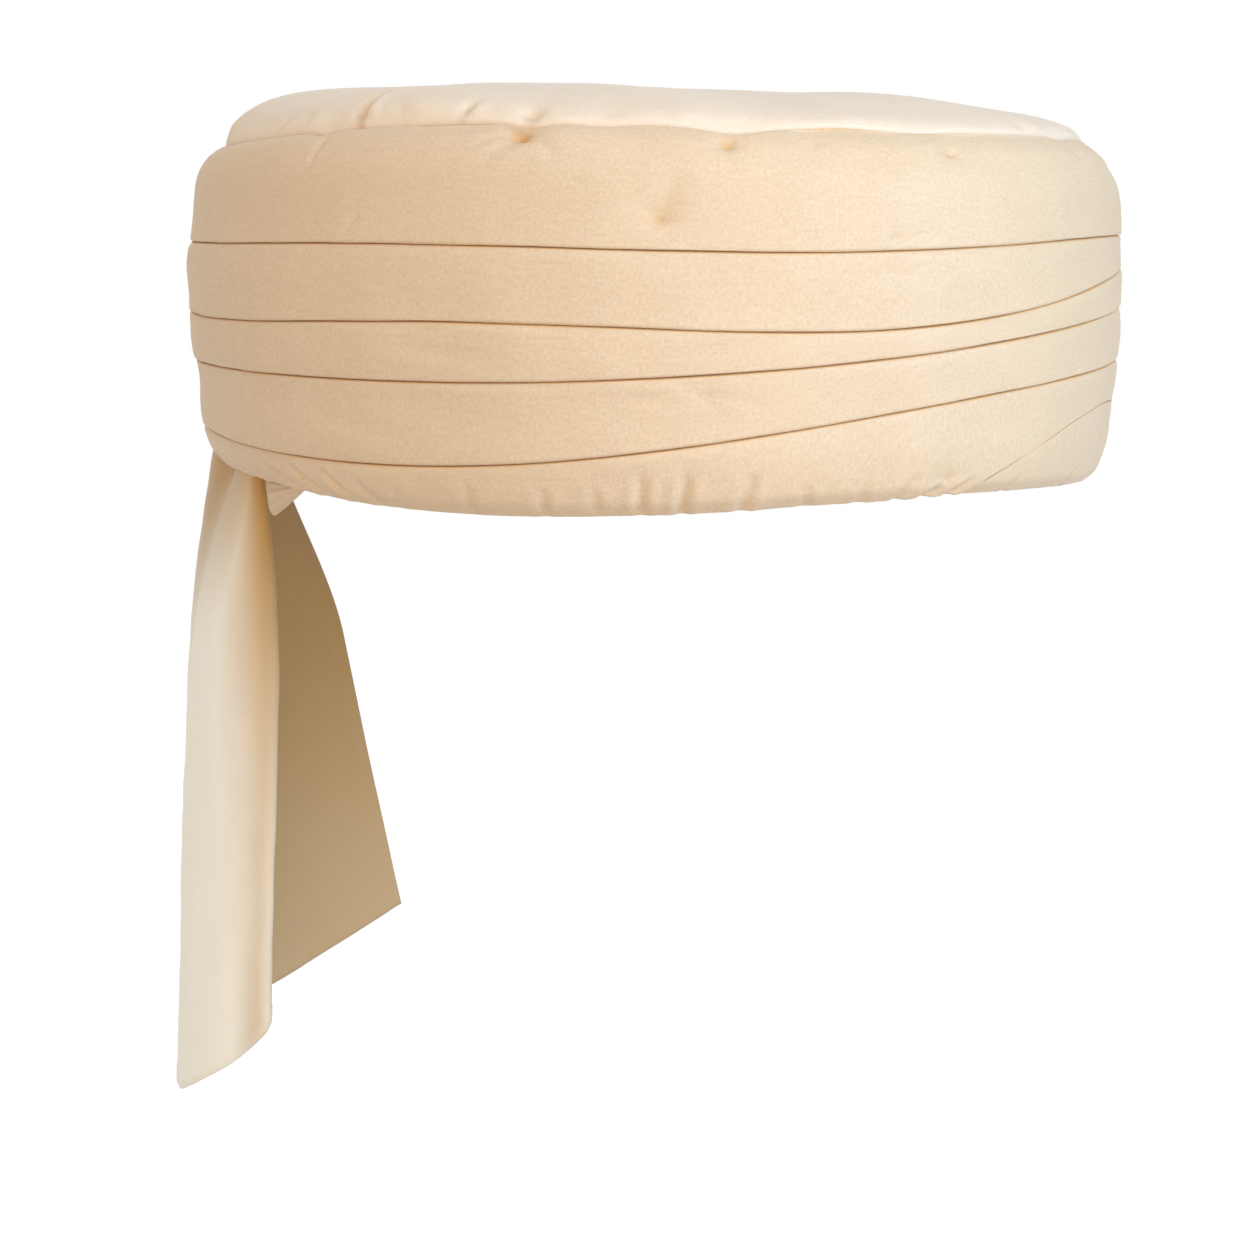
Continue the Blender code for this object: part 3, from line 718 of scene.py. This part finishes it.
def tacked(azimuth, height, tacks):
    """Stitched dimples: each draws the cloth in by depth * exp(-distance / radius), more along
    five rays than between them, and steeply just below the stitch."""
    relief = 0.0 * azimuth * height
    for at, level, depth, radius, stars in tacks:
        across = millimetres_round(azimuth, at)
        up = (height - level) * np.where(height < level, TACK_BELOW, TACK_ABOVE)
        distance = np.sqrt(across ** 2 + up ** 2 + TACK_BLUNT ** 2)
        star = np.cos(TACK_RAYS * np.arctan2(up, across) + at) * np.exp(-radius / distance)
        relief = relief - depth * np.exp(-distance / radius) * (1 + stars * star)
    return relief


def creased(azimuth, height, creases):
    """Creases: a valley exp(-(beside / width) squared) with a low roll on each side of it,
    fading along its length as the fourth power."""
    relief = 0.0 * azimuth * height
    for at, level, slant, length, width, depth in creases:
        across = millimetres_round(azimuth, at)
        up = height - level
        lean = np.radians(slant)
        along = across * np.cos(lean) + up * np.sin(lean)
        beside = up * np.cos(lean) - across * np.sin(lean)
        rolls = np.exp(-((np.abs(beside) - 2 * width) / width) ** 2)
        shape = np.exp(-(beside / width) ** 2) - 0.3 * rolls
        relief = relief - depth * shape * np.exp(-(2 * along / length) ** 4)
    return relief


def slackness(number, azimuth, height):
    """How slack the cloth of a turn lies, in mm: slow waves, read on a circle so that they
    close up round the head, and quicker ones a third as deep."""
    angle = np.radians(azimuth)
    slow = slow_waves(20 + number, 1.6 * np.sin(angle), 1.6 * np.cos(angle), height / 40)
    quick = slow_waves(40 + number, 4 * np.sin(angle), 4 * np.cos(angle), height / 16)
    return SLACK * slow + 0.3 * SLACK * quick


def wound_turn(number, faces, tacks, creases, fade=1.6):
    """Mesh data of one turn: its section carried round the head. The relief moves the outside
    and the lip along the section's normal; it fades in over fade millimetres below the lip
    above, and fades out along the underside. A deeper golden colour is painted in as painted
    shade under the lip above, along the underside and in the dimples, less near the head."""
    azimuth = np.linspace(180, 540, BAND_STATIONS, endpoint=False)
    top, outside, lower = faces(azimuth)
    lip = rounded_lip(outside, lower)
    head = soft_curve(np.stack((lower[:, -1], top[:, 0]), axis=1), HEAD_ROWS)[:, 1:-1]
    upper, under = soft_curve(top), soft_curve(lower)
    bridge = soft_curve(np.stack((upper[:, -1], outside[:, 0]), axis=1), 4)[:, 1:-1]
    outline = np.concatenate((upper, bridge, outside, lip, under, head), axis=1)
    weight = np.zeros(outline.shape[:2])
    first = upper.shape[1] + bridge.shape[1]
    lip_end = first + outside.shape[1] + LIP_ROWS
    below = outside[:, :1, 1] - outline[:, first:lip_end, 1]
    weight[:, first:lip_end] = ease(below / fade + 0.05)
    fading = under.shape[1] // 2
    weight[:, lip_end - LIP_ROWS:lip_end] *= np.linspace(1, LIP_RELIEF, LIP_ROWS)
    weight[:, lip_end:lip_end + fading] = LIP_RELIEF * ease(np.linspace(1, 0, fading))
    around = azimuth[:, None] + 0 * outline[..., 0]
    level = outline[..., 1]
    drawn = (tacked(around, level, tacks) + creased(around, level, creases)) * weight
    relief = drawn + slackness(number, around, level) * weight
    run = np.gradient(outline, axis=1)
    outward = np.stack((-run[..., 1], run[..., 0]), axis=-1)
    outward /= np.linalg.norm(outward, axis=-1, keepdims=True) + 1e-9
    outline = outline + relief[..., None] * outward
    rings = place(around, outline[..., 0], outline[..., 1])
    stations, rows = rings.shape[:2]
    quads = grid_faces(stations, rows, True, True)
    step = np.linalg.norm(np.diff(outline.mean(axis=0), axis=0), axis=-1)
    walked = np.concatenate(([0], np.cumsum(step), [step.sum()])) * MM
    along = np.linspace(0, 2 * np.pi, stations + 1) * (BAND_HALF_WIDTH + BAND_HALF_LENGTH) / 2 * MM
    i, j = np.meshgrid(np.arange(stations), np.arange(rows), indexing="ij")
    corners = [(i, j), (i + 1, j), (i + 1, j + 1), (i, j + 1)]
    layout = np.stack([np.stack((along[a], walked[b]), -1) for a, b in corners], axis=2)
    # Painted shade: a deeper golden colour painted under the lip above, along the underside and in
    # the dimples, less near the head.
    kept = np.ones(outline.shape[:2])
    kept[:, first:lip_end] = 1 - ease(below / PAINTED_SHADE_FOLD_EDGE)
    if number == 1:
        kept[:, :lip_end] = 0
    kept[:, lip_end:lip_end + fading] = ease(np.linspace(-0.3, 1, fading))
    kept *= PAINTED_SHADE_IN_FOLDS if number < 6 else PAINTED_SHADE_IN_LAST_FOLD
    kept *= mix(PAINTED_SHADE_AT_HEAD, 1, ease(outline[..., 0] / PAINTED_SHADE_HEAD_REACH))
    kept = np.maximum(kept, PAINTED_SHADE_IN_DIMPLES * ease(-drawn / PAINTED_SHADE_DIMPLE_DEPTH - 0.15))
    return rings.reshape(-1, 3), [quads], layout.reshape(-1, 2), kept


def first_faces(azimuth):
    """A ledge for the crown's skirt and an upper edge rolled in over it, then the outside."""
    seam = line_height("seam", azimuth) + seam_wave(azimuth)
    inner = CROWN_SKIRT_OUT + SKIRT_GAP
    ledge = ((0.0, LEDGE_HEIGHT), (inner, LEDGE_HEIGHT))
    edge = tuple((inner + out, seam - down) for out, down in ROLLED_EDGE)
    return (section(ledge + edge, azimuth),
            outer_face(seam, fold_height(1, azimuth), azimuth, lip_radius(1, azimuth)),
            underside(1, azimuth))


# CA924A is the deeper golden colour painted in as painted shade on the turns.
wound_cotton = cotton_crepe("wound_cotton_crepe", pale="E0C29D", deep="D1AF87", kept="CA924A")
turn_1 = sewn_piece(
    "first_turn", *wound_turn(1, first_faces, FIRST_TACKS, FIRST_CREASES, 0.4), wound_cotton)
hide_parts("turn_1")
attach(turn_1, "root")


# Second to fourth turns: the same folded strip going on round, each lapped by the one above it,
# spreading at the wearer's right and drawing together at the left.

SECOND_TACKS = (
    (346.8, 45.2, 0.5, 3.0, 0.3),
    (74.0, 49.0, 0.3, 1.5, 0.3),
    (196.0, 45.0, 0.5, 2.8, 0.3),
)
SECOND_CREASES = (
    (288.0, 44.0, 8.0, 30.0, 1.6, 0.15),
    (262.0, 41.0, 12.0, 18.0, 1.4, 0.18),
    (150.0, 48.0, -10.0, 22.0, 1.5, 0.18),
    (225.0, 46.0, 15.0, 20.0, 1.5, 0.18),
)
THIRD_TACKS = (
    (310.0, 31.0, 0.25, 2.2, 0.2),
    (172.0, 37.5, 0.3, 2.0, 0.3),
)
THIRD_CREASES = (
    (296.0, 30.0, -6.0, 26.0, 1.3, 0.14),
    (330.0, 31.5, 5.0, 20.0, 1.2, 0.12),
    (236.0, 32.0, 10.0, 18.0, 1.3, 0.15),
)
FOURTH_TACKS = (
    (326.2, 21.9, 0.7, 2.8, 0.7),
    (142.0, 31.0, 0.4, 2.2, 0.4),
    (215.0, 21.0, 0.5, 2.4, 0.4),
)
FOURTH_CREASES = (
    (320.5, 21.5, 0.0, 9.0, 1.2, 0.14),
    (331.0, 21.0, -14.0, 8.0, 1.3, 0.12),
    (285.0, 15.0, -8.0, 26.0, 1.5, 0.15),
    (262.0, 18.0, 10.0, 20.0, 1.5, 0.16),
    (200.0, 24.0, 8.0, 22.0, 1.6, 0.18),
)


def lapped_faces(number):
    """Function that gives the faces of a turn lapped by the one above it."""
    def faces(azimuth):
        top = laid_under(underside(number - 1, azimuth))[:, :-1]
        outside = outer_face(fold_height(number - 1, azimuth), fold_height(number, azimuth),
                             azimuth, lip_radius(number, azimuth))
        return top, outside, underside(number, azimuth)
    return faces


for number, name, tacks, creases in (
    (2, "second_turn", SECOND_TACKS, SECOND_CREASES),
    (3, "third_turn", THIRD_TACKS, THIRD_CREASES),
    (4, "fourth_turn", FOURTH_TACKS, FOURTH_CREASES),
):
    turn = sewn_piece(
        name, *wound_turn(number, lapped_faces(number), tacks, creases), wound_cotton)
    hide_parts(f"turn_{number}")
    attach(turn, "root")


# Fifth turn: it laps the whole rim from the forehead round the wearer's right, where its lower
# edge is gathered and turned under, and rises off the rim round the left.

FIFTH_TACKS = (
    (356.4, 5.4, 1.1, 1.7, 0.4),
    (300.0, 6.0, 0.3, 2.4, 0.2),
    (246.0, 9.0, 0.3, 2.0, 0.3),
)
FIFTH_CREASES = (
    (258.0, 3.0, -38.0, 7.0, 0.8, 0.50),
    (262.5, 2.8, -26.0, 9.0, 0.8, 0.65),
    (268.8, 3.2, -20.0, 13.0, 0.8, 0.90),
    (274.4, 2.8, -30.0, 10.0, 0.9, 0.95),
    (280.2, 2.4, -36.0, 8.5, 0.9, 0.80),
    (285.0, 1.4, -40.0, 7.0, 1.0, 0.50),
    (289.0, 0.6, 60.0, 5.0, 1.2, 0.30),
    (299.0, 1.5, 75.0, 6.0, 1.3, 0.35),
    (308.0, 1.0, 82.0, 6.0, 1.2, 0.40),
    (314.0, 2.0, 85.0, 5.0, 1.1, 0.35),
    (319.2, 2.8, 84.0, 7.5, 1.1, 0.75),
    (324.0, 3.0, 80.0, 8.0, 1.1, 0.85),
    (331.0, 3.4, 72.0, 8.0, 1.2, 0.70),
    (338.0, 3.0, 95.0, 5.0, 1.2, 0.35),
    (345.0, 3.2, 80.0, 5.0, 1.2, 0.35),
    (350.6, 3.6, 55.0, 7.0, 1.0, 0.55),
    (354.2, 2.6, 30.0, 6.0, 0.7, 0.85),
    (358.4, 3.2, 35.0, 7.0, 0.7, 0.80),
    (247.0, 3.0, 70.0, 6.0, 1.0, 0.40),
    (236.0, 3.0, -65.0, 6.0, 1.1, 0.40),
    (224.0, 3.0, 80.0, 6.0, 1.2, 0.40),
    (212.0, 4.0, -75.0, 6.0, 1.1, 0.35),
)
turn_5 = sewn_piece(
    "fifth_turn", *wound_turn(5, lapped_faces(5), FIFTH_TACKS, FIFTH_CREASES), wound_cotton)
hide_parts("turn_5")
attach(turn_5, "root")


# Sixth turn: the start of the strip, which shows below the fifth fold on the wearer's left and
# back, and is hidden inside the rim where the fifth turn wraps it.

RIM_UNDERSIDE = ((6.8, 0.0), (5.0, 0.0), (2.2, 0.1), (0.0, 0.8))
INNER_UNDERSIDE = ((4.25, 0.0), (3.2, 0.0), (1.8, 0.1), (0.0, 0.8))
INNER_TOP = ((4.42, 0.9), (4.45, 0.6))
INNER_FACE_TOP, INNER_FACE_OUT, INNER_FACE_SLANT = 0.5, 4.45, 0.1
LOWEST_FACE_TOP, LOWEST_FACE_FOOT = 0.15, 0.1
SIXTH_TACKS = (
    (52.0, 9.0, 0.5, 2.4, 0.4),
    (104.0, 8.0, 0.5, 2.2, 0.4),
    (160.0, 7.0, 0.4, 2.0, 0.4),
)
SIXTH_CREASES = (
    (8.0, 3.5, 60.0, 5.0, 0.8, 0.40),
    (22.0, 2.5, 80.0, 5.0, 1.0, 0.40),
    (36.0, 2.0, 95.0, 6.0, 1.1, 0.45),
    (49.0, 2.0, 75.0, 6.0, 1.1, 0.45),
    (63.0, 2.0, 85.0, 5.0, 1.1, 0.40),
    (78.0, 2.0, 100.0, 6.0, 1.2, 0.45),
    (95.0, 2.0, 80.0, 5.5, 1.1, 0.40),
    (113.0, 2.0, 95.0, 6.0, 1.1, 0.45),
    (129.0, 2.0, 75.0, 5.0, 1.0, 0.40),
    (147.0, 2.0, 85.0, 6.0, 1.1, 0.45),
    (168.0, 2.0, 95.0, 5.0, 1.0, 0.35),
    (186.0, 2.0, 80.0, 5.0, 1.0, 0.30),
)


def last_faces(azimuth):
    """Faces of the lowest turn: laid under the fifth, down to a rounded rim, or only the inner
    half of the rim where the fifth turn wraps it."""
    rim = line_height("rim", azimuth)
    share = wrapped_share(azimuth)
    spread = share[:, None, None]
    top = laid_under(underside(5, azimuth))
    top[:, -2:] = mix(top[:, -2:], section([(o, rim + u) for o, u in INNER_TOP], azimuth), spread)
    face_top = mix(fold_height(5, azimuth) - LOWEST_FACE_TOP, rim + INNER_FACE_TOP, share)
    points = []
    for fall in np.linspace(0, 0.97, FACE_ROWS):
        height = mix(face_top, rim + LOWEST_FACE_FOOT, fall)
        inner_out = INNER_FACE_OUT - INNER_FACE_SLANT * fall
        points.append((mix(envelope(height, azimuth), inner_out, share), height))
    whole = section([(out, rim + up) for out, up in RIM_UNDERSIDE], azimuth)
    inner = section([(out, rim + up) for out, up in INNER_UNDERSIDE], azimuth)
    return top, section(points, azimuth), mix(whole, inner, spread)


turn_6 = sewn_piece(
    "sixth_turn", *wound_turn(6, last_faces, SIXTH_TACKS, SIXTH_CREASES), wound_cotton)
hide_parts("turn_6")
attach(turn_6, "root")


# Tail: the loose end of the strip, gathered under the rim behind the right ear and sewn there.
# It hangs in a deep front roll and a flat back fall, with a narrow turned hem along its foot.

TAIL_COLUMNS = ("line", "root_azimuth", "root_out", "fall_azimuth", "fall_out",
                "hem_azimuth", "hem_out", "hem_height", "opens")
TAIL_LINES = (
    ("neck_edge", 251.5, 1.6, 248.0, 1.0, 246.0, 1.2, -121.0, 0.40),
    ("front_side", 255.5, 4.4, 254.0, 1.2, 252.5, 3.0, -122.5, 0.40),
    ("front_crest", 254.5, 6.8, 251.3, 9.5, 248.0, 9.9, -132.0, 0.30),
    ("front_turn", 251.0, 7.0, 241.0, 14.6, 236.7, 18.0, -143.0, 0.28),
    ("valley", 246.5, 3.4, 232.6, 17.4, 228.7, 22.3, -147.5, 0.36),
    ("outer_turn", 237.8, 9.6, 224.4, 18.7, 220.8, 24.5, -144.5, 0.34),
    ("back_pleat", 229.0, 4.0, 215.3, 13.8, 211.0, 20.9, -138.0, 0.40),
    ("back_roll", 222.0, 6.2, 208.4, 7.0, 201.0, 10.2, -130.0, 0.40),
    ("back_flat", 216.0, 4.0, 199.7, 3.5, 189.0, 4.5, -122.0, 0.40),
    ("back_edge", 211.0, 5.4, 193.0, 3.6, 181.0, 4.0, -117.5, 0.40),
)
TAIL_FALL = 0.42
ROOT_RISE = 0.3
RIM_CORNER_OUT, RIM_SLOPE = 6.4, 0.9
TAIL_CUT = (0.160, 0.150)  # flat, in metres: the hem's width and the fall from rim to hem
TAIL_WIDTH, TAIL_LENGTH = 160, 148
TAIL_HALF_THICKNESS, TAIL_EDGE_ROUNDING = 0.35, 0.5
HEM_HALF_THICKNESS, HEM_DEPTH, HEM_STEP = 0.62, 5.0, 0.7
STITCH_ABOVE_STEP, STITCH_WIDTH, STITCH_GROOVE = 0.8, 0.35, 0.18
TAIL_ACROSS, TAIL_DOWN = 220, 150
TAIL_RIPPLE, TAIL_RUMPLE = 0.35, 0.16
# Painted shade and shadow on the tail, as a deeper golden colour: along the front edge, in the
# deep pleat, at the gathered root, on the back fall and over the whole inner side; the names below
# give how strong each is and where it starts, ends and fades.
TAIL_PAINTED_SHADE_FLANK, TAIL_PAINTED_SHADE_PLEAT, TAIL_PAINTED_SHADE_INSIDE = 1.0, 0.9, 0.97
TAIL_PAINTED_SHADE_ROOT, TAIL_PAINTED_SHADE_BACK = 0.72, 0.35
FLANK_START, FLANK_AT_ROOT, FLANK_AT_HEM, FLANK_LOW = 0.14, 0.16, 0.09, 0.6
PLEAT_MIDDLE, PLEAT_WIDTH, PLEAT_REACH = 0.51, 0.08, 0.38
ROOT_REACH, BACK_START, BACK_FULL = 0.30, 0.52, 0.2


def tail_middle(across, down):
    """Middle of the cloth: each pleat line runs straight from its fall point to the hem, and
    is drawn towards its root by (1 - down / opens) squared above the height where it opens."""
    table = {name: np.array(values) for name, values
             in zip(TAIL_COLUMNS[1:], list(zip(*TAIL_LINES))[1:])}
    knots = np.linspace(0.0, 1.0, len(TAIL_LINES))
    at = {name: smooth_through(knots, values, across) for name, values in table.items()}
    gathered = np.clip(1 - down / at["opens"], 0, 1) ** 2
    fallen = (down - TAIL_FALL) / (1 - TAIL_FALL)
    azimuth = mix(mix(at["fall_azimuth"], at["hem_azimuth"], fallen), at["root_azimuth"], gathered)
    out = mix(mix(at["fall_out"], at["hem_out"], fallen), at["root_out"], gathered)
    tucked_up = RIM_SLOPE * np.clip(at["root_out"] - RIM_CORNER_OUT, 0, None)
    top = line_height("rim", at["root_azimuth"]) + ROOT_RISE + tucked_up
    return place(azimuth, out, mix(top, at["hem_height"], down))


def tail_kept(across, down):
    """How much painted shade and shadow the tail's two sides have, as a deeper golden colour:
    all over the inner side; outside, along the front edge, in the deep pleat, at the gathered
    root and at the back, each fading as an ease or a bell curve."""
    width = mix(FLANK_AT_ROOT, FLANK_AT_HEM, down)
    flank = (1 - ease((across - FLANK_START) / width)) * mix(1, FLANK_LOW, ease(down * 1.2))
    pleat = np.exp(-((across - PLEAT_MIDDLE) / PLEAT_WIDTH) ** 2) * (1 - ease(down / PLEAT_REACH))
    root = TAIL_PAINTED_SHADE_ROOT * (1 - ease(down / ROOT_REACH))
    back_fall = TAIL_PAINTED_SHADE_BACK * ease((across - BACK_START) / BACK_FULL)
    outer = np.maximum.reduce((TAIL_PAINTED_SHADE_FLANK * flank, TAIL_PAINTED_SHADE_PLEAT * pleat, root, back_fall))
    inner = mix(TAIL_PAINTED_SHADE_INSIDE, 0.9 * TAIL_PAINTED_SHADE_INSIDE, ease((down - 0.3) / 0.7))
    return np.stack((outer, inner)).ravel()


def make_tail():
    """Two faces of the cloth, each its half thickness from the middle, closed at all edges. The
    middle ripples and rumples a little, and the thickness steps up over the turned hem, with a
    groove where it is stitched."""
    across, down = np.meshgrid(
        np.linspace(0, 1, TAIL_ACROSS), np.linspace(0, 1, TAIL_DOWN) ** 1.15, indexing="ij")
    middle = tail_middle(across, down)
    normal = np.cross(np.gradient(middle, axis=0), np.gradient(middle, axis=1))
    normal /= np.linalg.norm(normal, axis=-1, keepdims=True)
    ripple = TAIL_RIPPLE * ease(down * 2.5) * slow_waves(61, across * 3.2, down * 0.8)
    away_from_edges = np.clip(6 * across * (1 - across), 0, 1)
    ripple += TAIL_RUMPLE * away_from_edges * slow_waves(83, across * 4.0, down * 4.2)
    middle = middle + normal * (ripple * MM)[..., None]
    fall = (1 - down) * TAIL_LENGTH
    hem = 1 - ease((fall - HEM_DEPTH) / HEM_STEP)
    stitch = np.exp(-((fall - HEM_DEPTH + STITCH_ABOVE_STEP) / STITCH_WIDTH) ** 2)
    half = mix(TAIL_HALF_THICKNESS, HEM_HALF_THICKNESS, hem) - STITCH_GROOVE * stitch
    edge = np.minimum(np.minimum(across, 1 - across) * TAIL_WIDTH, (1 - down) * TAIL_LENGTH)
    half = half * np.sqrt(np.clip(edge / TAIL_EDGE_ROUNDING, 0.02, 1))
    offset = normal * (half * MM)[..., None]
    faces = np.stack((middle + offset, middle - offset))
    count = TAIL_ACROSS * TAIL_DOWN
    front = grid_faces(TAIL_ACROSS, TAIL_DOWN, False, False)
    back = grid_faces(TAIL_ACROSS, TAIL_DOWN, False, False, count)[:, ::-1]
    number = np.arange(count).reshape(TAIL_ACROSS, TAIL_DOWN)
    rim = np.concatenate((number[:, 0], number[-1, 1:], number[-2::-1, -1], number[0, -2:0:-1]))
    ahead = np.roll(rim, -1)
    sides = np.stack((ahead, rim, rim + count, ahead + count), -1)
    flat = np.stack((across * TAIL_CUT[0], down * TAIL_CUT[1]), -1).reshape(-1, 2)
    flat = np.concatenate((flat, flat + (0.0, 0.3)))
    quads = np.concatenate((front, back, sides))
    return faces.reshape(-1, 3), [quads], flat[quads.ravel()], tail_kept(across, down)


# The tail is the turns' crepe painted much paler, as painted light for the stronger light that
# falls on it; AE7F37 is its painted shade.
tail_cotton = cotton_crepe("tail_cotton_crepe", pale="FFF6E3", deep="FBEDD4", kept="AE7F37",
                           drag=0.45)
tail = sewn_piece("loose_end", *make_tail(), tail_cotton)
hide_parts("tail")
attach(tail, "root")


# Tuck: a small roll of the same cloth that is pushed up under the rim beside the tail's root.

TUCK_START, TUCK_END = 256.8, 268.5
TUCK_OUT = 3.4
TUCK_HALF_THICKNESS, TUCK_END_THICKNESS = 1.9, 0.1
TUCK_DEPTH, TUCK_DEEPEST, TUCK_END_DEPTH = 8.0, 0.2, 0.8
TUCK_PLEATS = ((1.9, 0.25, 0.25), (1.2, 0.20, 0.18))  # where round it, how wide, how deep
TUCK_STATIONS, TUCK_ROWS = 90, 60


def make_tuck():
    """An oval section carried along the rim: its depth rises as a square root and tapers in a
    straight line, its thickness is a square root of half a sine wave, and two pleats run
    along it as bell curves."""
    along = np.linspace(0.01, 0.99, TUCK_STATIONS)
    azimuth = mix(TUCK_START, TUCK_END, along)
    rounded = np.minimum(1.0, along / TUCK_DEEPEST) ** 0.5
    tapered = np.clip((1 - along) / (1 - TUCK_DEEPEST), 0, 1)
    depth = TUCK_DEPTH * rounded * tapered + TUCK_END_DEPTH * np.sin(np.pi * along) ** 0.5
    half = TUCK_HALF_THICKNESS * np.sqrt(np.sin(np.pi * along)) + TUCK_END_THICKNESS
    top = line_height("rim", azimuth) + ROOT_RISE
    turn = np.linspace(0, 2 * np.pi, TUCK_ROWS, endpoint=False)
    height = top[:, None] - depth[:, None] * (0.5 - 0.5 * np.cos(turn))
    pleats = sum(deep * np.exp(-((turn - at) / wide) ** 2) for at, wide, deep in TUCK_PLEATS)
    out = TUCK_OUT + (half[:, None] - pleats * half[:, None]) * np.sin(turn)
    rings = place(azimuth[:, None] + 0 * out, out, height)
    poles = rings[[0, -1]].mean(axis=1)
    points = np.concatenate((rings.reshape(-1, 3), poles))
    count = TUCK_STATIONS * TUCK_ROWS
    quads = grid_faces(TUCK_STATIONS, TUCK_ROWS, False, True)
    i = np.arange(TUCK_ROWS)
    j = (i + 1) % TUCK_ROWS
    last = count - TUCK_ROWS
    caps = np.concatenate((np.stack((i, j, 0 * i + count), -1),
                           np.stack((last + j, last + i, 0 * i + count + 1), -1)))
    flat = np.stack((points[:, 1] - points[:, 0], points[:, 2]), -1)
    layout = np.concatenate((flat[quads.ravel()], flat[caps.ravel()]))
    return points, [quads, caps], layout, np.zeros(len(points))


tuck = sewn_piece("tucked_roll", *make_tuck(), wound_cotton)
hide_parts("tail_tuck")
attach(tuck, "root")
